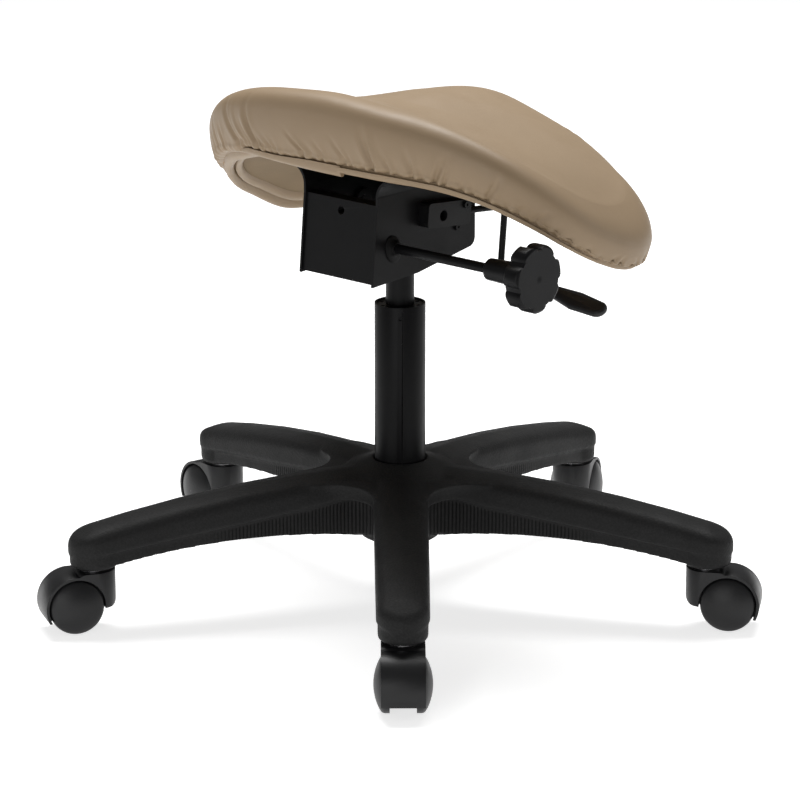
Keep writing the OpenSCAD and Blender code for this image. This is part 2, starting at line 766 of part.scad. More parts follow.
// Lever, drawn with its axis along +Y through the origin and sloped afterwards
bend_r = 9;
bend_in = 0.5;
finger_t = 3;
finger_w = 14;
finger_past = 6;
paddle_dip = 7;
neck_d = 10;
paddle_t = 8;
paddle_rod_in = 20;
paddle_mid_share = 0.5;
paddle_end_share = 0.85;
dish_at_share = 0.6;
dish_up_share = 2.55;
dish_r_share = 2.2;
dish_long_share = 2.1;
run_l = lever_reach - lever_x - paddle_l;
// A bend is a hair thicker than the straight lengths, which reach into it
module bend(angle)
    rotate_extrude(angle = angle) translate([bend_r, 0]) circle(d = lever_d + 2 * run);
module lever_rod() {
    front = lever_front / cos(lever_slope);
    color(black_steel) in_slope() {
        translate([0, rod_back + gap, 0]) rotate([-90, 0, 0])
            cylinder(h = front - bend_r - rod_back - gap + bend_in, d = lever_d);
        translate([0, front - bend_r, -bend_r]) rotate([0, -90, 0]) bend(90);
        translate([0, front, -lever_drop + bend_r - bend_in])
            cylinder(h = lever_drop - 2 * bend_r + 2 * bend_in, d = lever_d);
        translate([bend_r, front, -lever_drop + bend_r]) rotate([90, 0, 0])
            rotate(180) bend(90 - paddle_dip);
        lever_turn(front) translate([-bend_in, 0, 0]) rotate([0, 90, 0])
            cylinder(h = run_l - bend_r + paddle_rod_in + bend_in, d = lever_d);
        finger();
    }
}
// Start of the lever's outward run, turned to its dip
module lever_turn(front)
    translate([bend_r - bend_r * sin(paddle_dip), front, -lever_drop + bend_r - bend_r * cos(paddle_dip)])
        rotate([0, paddle_dip, 0]) children();
module finger() {
    translate([-lever_x - finger_past, window_back + gap * 4, -finger_t / 2])
        cube([lever_x + finger_past, finger_w, finger_t]);
    translate([-lever_x - finger_past, -finger_past, -finger_t / 2])
        cube([2 * finger_past, window_back + finger_past + 5 * gap, finger_t]);
}
module lever_paddle() {
    front = lever_front / cos(lever_slope);
    wide = paddle_w / 2;
    color(black_nylon) in_slope() lever_turn(front)
        translate([run_l - bend_r, 0, 0]) rotate([paddle_twist, 0, 0]) difference() {
            hull() {
                rotate([0, 90, 0]) cylinder(h = paddle_t, d = neck_d, $fn = 32);
                translate([paddle_l * paddle_mid_share, 0, -paddle_t / 4]) paddle_disc(wide);
                translate([paddle_l - wide, 0, -paddle_t / 4]) paddle_disc(wide * paddle_end_share);
            }
            translate([paddle_l * dish_at_share, 0, paddle_t * dish_up_share])
                scale([dish_long_share, 1, 1]) sphere(r = paddle_t * dish_r_share, $fn = 48);
            translate([-cut, 0, 0]) rotate([0, 90, 0]) cylinder(h = paddle_rod_in + cut, d = lever_d);
        }
}
module paddle_disc(r)
    rotate_extrude($fn = 32) polygon(concat(arc([r - paddle_t / 2, 0], paddle_t / 2, -90, 90, 6),
        [[0, paddle_t / 2], [0, -paddle_t / 2]]));

// Seat shape as functions of [x, y], measured from the seat's middle
OUTLINE = 48;
outline_power_share = 2.5;
power_growth_share = 0.1;
front_wide_share = 0.06;
// Shares by growing powers of the place from rear to front
crest_shares = [-0.11, 0.03, -0.92];
fall_shares = [1, 0.78, -0.43, -0.4];
end_shares = [1, -0.2, -0.67];
board_fall_shares = [1, 0.745, -0.51];
ridge_soft_share = 0.09;
board_power_share = 1.1;
end_power_share = 4;
edge_side_share = 0.1;
edge_end_share = 0.48;
thick_share = 0.62;
board_flat_half = 96;
board_rear_rise = 5.5;
board_front_drop = 18;
board_inset = 13;
cover_t = 2;
function signed_pow(v, p) = sign(v) * pow(abs(v), p);
function along(shares, s) = [for (i = [0:len(shares) - 1]) pow(s, i)] * shares;
function outline(a) =
    let (n = outline_power_share + power_growth_share * sin(a), s = signed_pow(sin(a), 2 / n))
    [seat_half_w * signed_pow(cos(a), 2 / n) * (1 + front_wide_share * s), seat_half_d * s];
function ridge(q) = (sqrt(q * q + ridge_soft_share * ridge_soft_share) - ridge_soft_share)
    / (sqrt(1 + ridge_soft_share * ridge_soft_share) - ridge_soft_share);
function top_z(p) = let (s = p.y / seat_half_d, q = abs(p.x) / seat_half_w)
    seat_z + seat_mid_h + crest_run * s * along(crest_shares, s)
    - flank_drop * along(fall_shares, s) * ridge(q)
    - end_drop * along(end_shares, s) * pow(q, end_power_share);
function low_z(p) = let (s = p.y / seat_half_d,
        past = max(0, abs(p.x) - board_flat_half) / (seat_half_w - board_flat_half))
    seat_z + (s > 0 ? -board_front_drop : board_rear_rise) * pow(max(0, 2 * abs(s) - 1), 2)
    - board_drop * pow(past, board_power_share) * max(0, along(board_fall_shares, s));
// Radius of the top edge at angle a, kept within the cushion's thickness
function edge_at(a) = let (p = outline(a), s = p.y / seat_half_d, q = p.x / seat_half_w,
        wanted = edge_r * (1 + edge_side_share * s - edge_end_share * q * q))
    min(wanted, thick_share * (top_z(p * (1 - wanted / norm(p))) - low_z(p)));
// Point of the outline at angle a, drawn in by a distance, or at a share of its radius inside the edge
function inset_at(a, d) = let (p = outline(a)) p * (1 - d / norm(p));
function share_at(a, d, f) = f * inset_at(a, d);
function place(p, z) = [p.x, p.y + seat_fwd, z];
function ring_edge(w) = [for (i = [0:OUTLINE - 1]) let (a = i * 360 / OUTLINE, r = edge_at(a),
        p = inset_at(a, r * (1 - sin(w)))) place(p, top_z(p) - r * (1 - cos(w)))];
function ring_low(d, up, f = 1) =
    [for (i = [0:OUTLINE - 1]) let (p = share_at(i * 360 / OUTLINE, d, f)) place(p, low_z(p) + up)];
function ring_mix(d, w) = [for (i = [0:OUTLINE - 1]) let (a = i * 360 / OUTLINE, p = inset_at(a, d))
    place(p, (1 - w) * low_z(p) + w * (top_z(p) - edge_at(a)))];
function ring_crown(f) =
    [for (i = [0:OUTLINE - 1]) let (a = i * 360 / OUTLINE, p = share_at(a, edge_at(a), f))
        place(p, top_z(p))];
// Closed solid through rings of points, with a point at each end
module loft(first, rings, last) {
    n = len(rings[0]);
    m = len(rings);
    points = concat([first], [for (r = rings) each r], [last]);
    faces = concat(
        [for (i = [0:n - 1]) [0, 1 + (i + 1) % n, 1 + i]],
        [for (j = [0:m - 2], i = [0:n - 1]) each [
            [1 + j * n + i, 1 + j * n + (i + 1) % n, 1 + (j + 1) * n + i],
            [1 + j * n + (i + 1) % n, 1 + (j + 1) * n + (i + 1) % n, 1 + (j + 1) * n + i]]],
        [for (i = [0:n - 1]) [1 + (m - 1) * n + i, 1 + (m - 1) * n + (i + 1) % n, 1 + m * n]]);
    polyhedron(points, faces);
}
flat_share = board_flat_half / (seat_half_w - hem_w);
step_shares = [0, 0.35, 0.7, 1];
board_shares = [for (f = step_shares) flat_share + (1 - flat_share) * f];
side_in = 3;
side_mix_share = 0.55;
crown_shares = [0.25, 0.5, 0.75, 1];
edge_turns = [25, 50, 72, 90];
module seat_board() {
    color(plywood) difference() {
        loft(place([0, 0], low_z([0, 0])),
            concat([for (f = board_shares) ring_low(hem_w, 0, f)],
                [ring_low(board_inset, 0), ring_low(board_inset, board_t)],
                [for (i = [len(board_shares) - 1:-1:0]) ring_low(hem_w, board_t, board_shares[i])]),
            place([0, 0], low_z([0, 0]) + board_t));
        for (p = bolt_places) translate([p.x, p.y, 0]) {
            translate([0, 0, seat_z - cut]) cylinder(h = board_t + 2 * cut, d = tee_d);
            translate([0, 0, seat_z + board_t - tee_sink - tee_t])
                cylinder(h = tee_t + tee_sink + cut, d = tee_wide);
        }
    }
}
module seat_cushion() {
    color(tan_vinyl) loft(place([0, 0], top_z([0, 0])),
        concat([for (f = crown_shares) ring_crown(f)],
            [for (w = edge_turns) ring_edge(w)],
            [ring_mix(side_in, side_mix_share), ring_low(side_in / 3, board_t), ring_low(side_in, cover_t),
             ring_low(board_inset - side_in, -cover_t), ring_low(hem_w - band_w, -cover_t),
             ring_low(hem_w, -cover_t), ring_low(hem_w, 0),
             ring_low(board_inset, 0), ring_low(board_inset, board_t)],
            [for (i = [len(board_shares) - 1:-1:0]) ring_low(hem_w, board_t, board_shares[i])]),
        place([0, 0], low_z([0, 0]) + board_t));
}
band_w = 9;
band_t = 2.4;
press_in = 0.02;
press_deep = 4;
press_past = 1;
// Room that the bracket's flange presses flat under the seat
module flange_room() {
    half = wall_x + flare_r + ear_out + press_past;
    rear = shell_rear + plate_in + press_past;
    translate([-half, -rear, shell_z - press_deep])
        cube([2 * half, rear + shell_front + press_past, press_deep + press_in]);
}
module hem_band() {
    color(tan_vinyl) difference() {
        hem_ring();
        flange_room();
    }
}
module hem_ring() {
    ring_solid([ring_low(hem_w, -cover_t), ring_low(hem_w - band_w, -cover_t),
        ring_low(hem_w - band_w, -cover_t - band_t), ring_low(hem_w, -cover_t - band_t)]);
}
// Closed ring through four corner loops
module ring_solid(loops) {
    n = len(loops[0]);
    m = len(loops);
    polyhedron([for (r = loops) each r], [for (j = [0:m - 1], i = [0:n - 1]) each [
        [j * n + i, j * n + (i + 1) % n, ((j + 1) % m) * n + (i + 1) % n],
        [j * n + i, ((j + 1) % m) * n + (i + 1) % n, ((j + 1) % m) * n + i]]]);
}
module dust_cloth() {
    color(tan_vinyl) difference() {
        loft(place([0, 0], low_z([0, 0])),
            concat([for (i = [0:len(board_shares) - 1]) ring_low(hem_w, 0, board_shares[i])],
                [for (i = [len(board_shares) - 1:-1:0]) ring_low(hem_w, -cloth_t, board_shares[i])]),
            place([0, 0], low_z([0, 0]) - cloth_t));
        for (p = bolt_places) translate([p.x, p.y, seat_z - cloth_t - cut])
            cylinder(h = cloth_t + 2 * cut, d = tee_d);
        flange_room();
    }
}
bolt_d = 6;
bolt_head_t = 4;
bolt_head_d = 11.5;
tee_d = 8;
tee_t = 1.4;
tee_sink = 2;
tee_wide = 18;
bolt_places = [for (x = [-1, 1], y = [-ear_back, ear_fore])
    [x * (wall_x + flare_r + ear_out - bolt_in), y + ear_w / 2]];
module seat_bolts() {
    color(black_steel) for (p = bolt_places) translate([p.x, p.y, shell_z - shell_t]) {
        translate([0, 0, -bolt_head_t]) cylinder(h = bolt_head_t, d = bolt_head_d, $fn = 6);
        cylinder(h = shell_t + board_t - tee_sink, d = bolt_d);
    }
}
module t_nuts() {
    color(bright_steel) for (p = bolt_places) translate([p.x, p.y, seat_z]) difference() {
        union() {
            cylinder(h = board_t - tee_sink, d = tee_d);
            translate([0, 0, board_t - tee_sink - tee_t]) cylinder(h = tee_t, d = tee_wide);
        }
        translate([0, 0, -cut]) cylinder(h = board_t + 2 * cut, d = bolt_d);
    }
}

for (k = [1:CASTERS]) {
    caster_stem(k - 1);
    caster_hood(k - 1);
    caster_axle(k - 1);
    caster_wheel(k - 1, 1);
    caster_wheel(k - 1, -1);
}
star_base();
outer_tube();
guide_bush();
thrust_bearing();
piston_rod();
retaining_clip();
buffer_ring();
gas_cylinder();
release_button();
socket_housing();
clamp_nut();
clamp_washer();
clamp_rod();
clamp_knob();
seat_bracket();
pivot_bolts();
lever_block();
block_screws();
lever_rod();
lever_paddle();
seat_board();
seat_bolts();
t_nuts();
seat_cushion();
hem_band();
dust_cloth();
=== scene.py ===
import bpy
import bmesh
import json
import math
import random
import numpy as np
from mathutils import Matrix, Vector, kdtree


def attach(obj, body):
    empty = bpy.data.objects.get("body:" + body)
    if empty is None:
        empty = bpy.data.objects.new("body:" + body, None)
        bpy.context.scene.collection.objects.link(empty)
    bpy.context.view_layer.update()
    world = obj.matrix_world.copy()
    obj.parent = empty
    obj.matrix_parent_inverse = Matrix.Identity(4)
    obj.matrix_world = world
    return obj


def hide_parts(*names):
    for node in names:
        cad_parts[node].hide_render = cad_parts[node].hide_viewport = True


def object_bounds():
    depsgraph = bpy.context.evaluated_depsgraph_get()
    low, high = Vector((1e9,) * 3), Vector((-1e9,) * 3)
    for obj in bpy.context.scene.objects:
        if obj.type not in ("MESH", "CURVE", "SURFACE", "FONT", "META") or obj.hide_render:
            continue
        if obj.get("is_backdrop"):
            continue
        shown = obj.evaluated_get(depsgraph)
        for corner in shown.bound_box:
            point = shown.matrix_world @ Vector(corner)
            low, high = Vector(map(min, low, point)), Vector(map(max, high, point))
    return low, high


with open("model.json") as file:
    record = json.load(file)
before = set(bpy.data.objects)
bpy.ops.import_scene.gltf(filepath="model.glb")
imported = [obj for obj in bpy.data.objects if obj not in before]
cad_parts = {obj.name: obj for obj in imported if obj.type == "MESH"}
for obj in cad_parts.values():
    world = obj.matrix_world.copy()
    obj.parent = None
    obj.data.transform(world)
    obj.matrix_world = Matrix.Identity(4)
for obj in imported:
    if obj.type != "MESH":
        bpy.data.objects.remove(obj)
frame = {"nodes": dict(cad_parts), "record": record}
NODES = frame["nodes"]
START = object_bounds()

# Lengths are in mm up to the stage, and MM turns them into metres
MM = 0.001
TINY = 1e-9


# Colours and materials

def srgb(red, green, blue):
    """A colour given by its sRGB values from 0 to 255, as linear light."""
    shares = [value / 255 for value in (red, green, blue)]
    light = [s / 12.92 if s <= 0.04045 else ((s + 0.055) / 1.055) ** 2.4 for s in shares]
    return (*light, 1.0)


def scaled(colour, factor):
    return (*(factor * part for part in colour[:3]), 1.0)


class Graph:
    """A material's node tree with short helpers. Scales are to the metre, and depths of bumps are in mm."""

    def __init__(self, name):
        self.mat = bpy.data.materials.new(name)
        self.mat.use_nodes = True
        self.tree = self.mat.node_tree
        self.tree.nodes.clear()
        self.out = self.tree.nodes.new("ShaderNodeOutputMaterial")
        self.coords = self.tree.nodes.new("ShaderNodeTexCoord").outputs["Object"]

    def put(self, socket, value):
        """Links the socket to another one, or sets it to a constant."""
        if isinstance(value, bpy.types.NodeSocket):
            self.tree.links.new(value, socket)
        else:
            socket.default_value = value

    def node(self, kind, inputs=None, **settings):
        made = self.tree.nodes.new(kind)
        for name, value in settings.items():
            setattr(made, name, value)
        for key, value in (inputs or {}).items():
            self.put(made.inputs[key], value)
        return made

    def noise(self, scale, detail=2.0):
        inputs = {"Vector": self.coords, "Scale": scale, "Detail": detail}
        return self.node("ShaderNodeTexNoise", inputs).outputs["Fac"]

    def cells(self, scale):
        inputs = {"Vector": self.coords, "Scale": scale}
        return self.node("ShaderNodeTexVoronoi", inputs, feature="SMOOTH_F1").outputs["Distance"]

    def axis(self, letter):
        return self.node("ShaderNodeSeparateXYZ", {"Vector": self.coords}).outputs[letter]

    def attribute(self, name):
        return self.node("ShaderNodeAttribute", attribute_name=name).outputs["Fac"]

    def span(self, value, low, high, to_low, to_high):
        inputs = {"Value": value, "From Min": low, "From Max": high, "To Min": to_low, "To Max": to_high}
        return self.node("ShaderNodeMapRange", inputs).outputs["Result"]

    def clouds(self, scale, detail, low, high):
        """Soft noise between the values low and high."""
        return self.span(self.noise(scale, detail), 0.3, 0.7, low, high)

    def math(self, operation, a, b=0.0):
        return self.node("ShaderNodeMath", {0: a, 1: b}, operation=operation).outputs[0]

    def wave(self, value, turn):
        return self.math("SINE", self.math("MULTIPLY", value, turn))

    def mix(self, factor, a, b):
        made = self.node("ShaderNodeMix", data_type="RGBA")
        for name, value in (("Factor", factor), ("A", a), ("B", b)):
            self.put([s for s in made.inputs if s.name == name and s.enabled][-1], value)
        return [s for s in made.outputs if s.enabled][0]

    def mottled(self, colour, scale, darker, lighter):
        """The colour in soft patches that vary it between two factors."""
        return self.mix(self.clouds(scale, 3.0, 0.0, 1.0), scaled(colour, darker), scaled(colour, lighter))

    def bump(self, height, depth, strength, normal=None):
        inputs = {"Height": height, "Distance": depth * MM, "Strength": strength}
        if normal is not None:
            inputs["Normal"] = normal
        return self.node("ShaderNodeBump", inputs).outputs["Normal"]

    def finish(self, colour, roughness, normal, level=0.5, metal=0.0):
        shader = self.node("ShaderNodeBsdfPrincipled", {
            "Base Color": colour, "Roughness": roughness, "Metallic": metal,
            "Specular IOR Level": level, "Normal": normal})
        self.put(self.out.inputs["Surface"], shader.outputs[0])
        return self.mat


def vinyl_material():
    """Soft vinyl with a pebbled grain over shallow waves."""
    g = Graph("tan_vinyl")
    colour = g.mottled(srgb(148, 127, 101), 9.0, 0.97, 1.03)
    normal = g.bump(g.noise(60.0), 0.6, 0.35)
    normal = g.bump(g.cells(900.0), 0.16, 0.45, normal)
    normal = g.bump(g.noise(2600.0), 0.06, 0.4, normal)
    return g.finish(colour, g.clouds(45.0, 3.0, 0.46, 0.54), normal, level=0.36)


def cloth_material():
    """Plain weave, its threads 1.2 mm apart."""
    g = Graph("tan_cloth")
    thread_turn = 5200.0
    colour = g.mottled(srgb(130, 112, 88), 30.0, 0.94, 1.05)
    weave = g.math("MULTIPLY", g.wave(g.axis("X"), thread_turn), g.wave(g.axis("Y"), thread_turn))
    return g.finish(colour, 0.85, g.bump(weave, 0.12, 0.5), level=0.25)


def black_material(name, rgb, roughness, pebble, depth, level, spread=0.04):
    """Moulded or painted black with a pebbled grain, its roughness varying by the spread to each side."""
    g = Graph(name)
    colour = g.mottled(srgb(*rgb), 14.0, 0.9, 1.1)
    normal = g.bump(g.cells(pebble), depth, 0.6)
    normal = g.bump(g.noise(2600.0), 0.35 * depth, 0.5, normal)
    rough = g.clouds(35.0, 3.0, roughness - spread, roughness + spread)
    return g.finish(colour, rough, normal, level)


# Distance between the fine upright ribs on the sides of the base's legs
RIB_STEP = 3.7


def base_material():
    """Pebbled nylon; the attributes rib and rib_mask place the fine upright ribs of the legs' sides, and
    paint shade into their grooves.
    """
    g = Graph("base_nylon")
    colour = srgb(42, 42, 42)
    grain = g.cells(560.0)
    base = g.mottled(colour, 14.0, 0.88, 1.12)
    base = g.mix(g.span(grain, 0.0, 0.6, 0.0, 0.5), base, scaled(colour, 0.4))
    ribs = g.wave(g.attribute("rib"), math.tau / RIB_STEP)
    groove = g.math("MULTIPLY", g.span(ribs, 0.0, 0.9, 0.0, 1.0), g.attribute("rib_mask"))
    # Painted shade: the ribs' grooves are mixed towards a much darker colour
    base = g.mix(groove, base, scaled(colour, 0.12))
    normal = g.bump(grain, 0.4, 0.6)
    normal = g.bump(g.noise(2400.0), 0.1, 0.5, normal)
    normal = g.bump(g.math("SUBTRACT", 1.0, groove), 0.4, 0.6, normal)
    return g.finish(base, g.clouds(35.0, 3.0, 0.52, 0.62), normal, level=0.11)


def steel_material():
    g = Graph("bright_steel")
    colour = g.mix(g.clouds(20.0, 2.0, 0.0, 1.0), srgb(170, 170, 172), srgb(190, 190, 192))
    return g.finish(colour, g.clouds(60.0, 2.0, 0.22, 0.34), g.bump(g.noise(1500.0), 0.03, 0.5), metal=1.0)


def wood_material():
    """Plywood whose plies show as bands in its height."""
    g = Graph("plywood")
    plies = g.span(g.wave(g.axis("Z"), 2600.0), -1.0, 1.0, 0.0, 1.0)
    colour = g.mix(plies, srgb(176, 144, 104), srgb(140, 108, 74))
    return g.finish(colour, 0.7, g.bump(g.noise(400.0, 4.0), 0.1, 0.5))


BLACKS = {
    "caster_nylon": dict(rgb=(26, 26, 27), roughness=0.40, pebble=1500.0, depth=0.08, level=0.3),
    "moulded_black": dict(rgb=(15, 15, 16), roughness=0.38, pebble=1200.0, depth=0.08, level=0.12),
    "gloss_black": dict(rgb=(30, 30, 31), roughness=0.36, pebble=500.0, depth=0.01, level=0.3, spread=0.02),
    "black_steel": dict(rgb=(14, 14, 15), roughness=0.40, pebble=1700.0, depth=0.05, level=0.1),
    "black_rubber": dict(rgb=(13, 13, 13), roughness=0.62, pebble=900.0, depth=0.06, level=0.1),
}
MATS = {
    "tan_vinyl": vinyl_material(),
    "tan_cloth": cloth_material(),
    "base_nylon": base_material(),
    "bright_steel": steel_material(),
    "plywood": wood_material(),
    **{name: black_material(name, **look) for name, look in BLACKS.items()},
}


# Meshes

def smoothstep(x, low, high):
    """0 up to low and 1 from high on, with a smooth rise between them."""
    t = np.clip((x - low) / (high - low), 0, 1)
    return t * t * (3 - 2 * t)


def between(x, starts, ends):
    """1 between two stretches, rising over the first one and falling over the second."""
    return smoothstep(x, *starts) * (1 - smoothstep(x, *ends))


def bell(x):
    return np.exp(-x ** 2)


def added(name, data):
    """A new object of the scene with this data."""
    obj = bpy.data.objects.new(name, data)
    bpy.context.scene.collection.objects.link(obj)
    return obj


def mesh_piece(name, points, faces, slot, body=None, sharp=None):
    """A smooth mesh; sharp is the angle in degrees from which its edges stay sharp."""
    me = bpy.data.meshes.new(name)
    places = [tuple(p) for p in np.asarray(points, float) * MM]
    me.from_pydata(places, [], [tuple(int(i) for i in f) for f in faces])
    me.update()
    obj = added(name, me)
    me.materials.append(MATS[slot])
    me.shade_smooth()
    if sharp is not None:
        me.set_sharp_from_angle(angle=math.radians(sharp))
    if body:
        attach(obj, body)
    return obj


def tube_faces(loops, count, start=0):
    """Quads that join each closed loop of count points to the next one, and the last loop to the first."""
    faces = []
    for j in range(loops):
        near, far = start + j * count, start + (j + 1) % loops * count
        for i in range(count):
            k = (i + 1) % count
            faces.append((near + i, near + k, far + k, far + i))
    return faces


def closed_rings(rings):
    """Points and faces of a closed body through the rings, with a point at the middle of each end."""
    m, n = rings.shape[:2]
    points = np.concatenate([rings.reshape(-1, 3), [rings[0].mean(0)], [rings[-1].mean(0)]])
    faces = [quad[::-1] for quad in tube_faces(m, n)[:-n]]
    faces += [(i, (i + 1) % n, m * n) for i in range(n)]
    faces += [((m - 1) * n + (i + 1) % n, (m - 1) * n + i, m * n + 1) for i in range(n)]
    return points, faces


def add_modifier(obj, name, kind, **values):
    modifier = obj.modifiers.new(name, kind)
    for key, value in values.items():
        setattr(modifier, key, value)
    return modifier


def bake(obj):
    """Applies the object's modifiers to its mesh."""
    depsgraph = bpy.context.evaluated_depsgraph_get()
    obj.data = bpy.data.meshes.new_from_object(obj.evaluated_get(depsgraph))
    obj.modifiers.clear()


def edit_mesh(mesh, change):
    """Lets change, a function, work on the mesh as a bmesh."""
    bm = bmesh.new()
    bm.from_mesh(mesh)
    change(bm)
    bm.to_mesh(mesh)
    bm.free()
    mesh.update()


def turn_outward(bm):
    bmesh.ops.recalc_face_normals(bm, faces=bm.faces)


def vertex_values(mesh, kind):
    """Three numbers for each vertex: its place in metres for co, its normal for normal."""
    values = np.empty(len(mesh.vertices) * 3)
    mesh.vertices.foreach_get(kind, values)
    return values.reshape(-1, 3)


def points_of(mesh):
    """The places of the mesh's vertices in mm."""
    return vertex_values(mesh, "co") / MM


def move_points(mesh, places):
    mesh.vertices.foreach_set("co", np.asarray(places * MM, np.float32).ravel())
    mesh.update()


# The seat's form, with u to the right and v forward from the seat's own middle

SEAT_HALF_W = 239.0
SEAT_HALF_D = 148.0
SEAT_FWD = 29.5
OUTLINE_POWER = 2.5
POWER_GROWTH = 0.1
FRONT_WIDE = 0.06
# Terms by growing powers of the place from the rear, -1, to the front, 1
CREST = (503.5, -3.9, 1.0, -32.2)
FLANK_DROP = (69.5, 54.2, -29.9, -27.8)
END_DROP = (15.0, -3.0, -10.0)
END_POWER = 4
BOARD_DROP = (80.5, 60.0, -41.0)
BOARD_POWER = 1.1
BOARD_H = 445.0
BOARD_FLAT_HALF = 96.0
BOARD_REAR_RISE = 5.5
BOARD_FRONT_DROP = 18.0
RIDGE_SOFT = 0.09
# How far the left front of the underside hangs, and the shares of the seat's depth and width where it does
HANG = 12.0
HANG_STARTS = (-0.05, 0.5)
HANG_ENDS = (0.8, 1.0)
HANG_SIDE = (0.45, 0.9)
# Radius of the top edge: at mid depth, its growth to the front and its growth to the ends
EDGE_R = 42.0
EDGE_R_FRONT = 4.2
EDGE_R_ENDS = -20.2
EDGE_THICK = 0.62
# The cover's turn under the seat: its radius, how far it is drawn in and its height over the board
HEM_R = 6.0
HEM_TUCK = 5.0
HEM_LIFT = 5.0


def outline(angles):
    """Points of the seat's outline, anticlockwise from its right-hand end."""
    c, s = np.cos(angles), np.sin(angles)
    power = 2 / (OUTLINE_POWER + POWER_GROWTH * s)
    wide = np.sign(c) * np.abs(c) ** power
    deep = np.sign(s) * np.abs(s) ** power
    return SEAT_HALF_W * wide * (1 + FRONT_WIDE * deep), SEAT_HALF_D * deep


def along(terms, s):
    """Sum of the terms, each times its own power of s."""
    return sum(term * s ** power for power, term in enumerate(terms))


def top_height(u, v):
    """Height of the cushion's top: its crest, less the fall of its flanks and the droop of its ends."""
    q, s = np.abs(u) / SEAT_HALF_W, v / SEAT_HALF_D
    soft = RIDGE_SOFT ** 2
    ridge = (np.sqrt(q * q + soft) - RIDGE_SOFT) / (math.sqrt(1 + soft) - RIDGE_SOFT)
    return along(CREST, s) - along(FLANK_DROP, s) * ridge - along(END_DROP, s) * q ** END_POWER


def low_height(u, v):
    """Height of the board's underside, carried on to the cushion's edge."""
    s = v / SEAT_HALF_D
    past = np.maximum(0, (np.abs(u) - BOARD_FLAT_HALF) / (SEAT_HALF_W - BOARD_FLAT_HALF))
    outer = np.maximum(0, np.abs(s) - 0.5) * 2
    bend = np.where(s < 0, BOARD_REAR_RISE, -BOARD_FRONT_DROP) * outer * outer
    hang = HANG * between(s, HANG_STARTS, HANG_ENDS) * smoothstep(-u / SEAT_HALF_W, *HANG_SIDE)
    return BOARD_H + bend - hang - np.maximum(0, along(BOARD_DROP, s)) * past ** BOARD_POWER


# Places along the outline: lengths from its right-hand end, anticlockwise from above. The left end is at
# about half the girth and the middle of the rear at about three quarters.

FINE_STEPS = 7200
FINE_ANGLES = np.linspace(0, math.tau, FINE_STEPS + 1)
FINE_POINTS = np.stack(outline(FINE_ANGLES))
FINE_PLACES = np.concatenate([[0], np.cumsum(np.hypot(*np.diff(FINE_POINTS)))])
GIRTH = FINE_PLACES[-1]


def angles_at(places):
    return np.interp(places, FINE_PLACES, FINE_ANGLES)


def even_angles(count):
    """Angles that space points evenly along the outline."""
    return angles_at(np.arange(count) * GIRTH / count)


def place_of(u, v):
    """Place of the outline point that lies outward of (u, v)."""
    directions = np.unwrap(np.arctan2(FINE_POINTS[1], FINE_POINTS[0]))
    return np.interp(np.arctan2(v, u) % math.tau, directions, FINE_PLACES)


# Stretches of the outline over which the hem changes, how far its fold moves there, and two strips' ends

FOLD_LOW_STARTS = (690, 770)
FOLD_LOW_ENDS = (828, 860)
FOLD_HIGH_STARTS = (900, 960)
FOLD_HIGH_ENDS = (1040, 1170)
FOLD_LOW = 5.2
FOLD_RISE = 2.5
FOLD_REAR_RISE = 2.0
BAND_STARTS = (420, 560)
BAND_ENDS = (960, 990)
DEEP_STARTS = (500, 560)
DEEP_ENDS = (800, 860)
DRAWN_IN_STARTS = (680, 760)
DRAWN_IN_ENDS = (832, 866)
NEAR_STARTS = (840, 870)
PAST_TAB = (980, 1000)
NEAR_ENDS = (1080, 1190)
TAB_GROWS = (850, 992)
TAB_ENDS = (845, 994)
PIPING_ENDS = (990, 1275)
PIPING_TAPERS = (1225, 1275)


def fold_height(place):
    """Height of the cover's fold over the board along the outline, lowest on the left flank."""
    rise = FOLD_RISE * smoothstep(place, *FOLD_LOW_ENDS)
    rise = rise + FOLD_REAR_RISE * smoothstep(place, *FOLD_HIGH_STARTS)
    low = FOLD_LOW * between(place, FOLD_LOW_STARTS, FOLD_LOW_ENDS)
    return HEM_LIFT - low + rise * (1 - smoothstep(place, *FOLD_HIGH_ENDS))


def placed(points):
    """Moves points from the seat's own middle to the frame."""
    moved = np.array(points, float)
    moved[..., 1] += SEAT_FWD
    return moved


# The cushion: points round it, the least height of its side and where its underside rises to the board

COVER_STEPS = 900
MIN_SIDE = 1.0
UNDER_RISE = (0.04, 0.12)


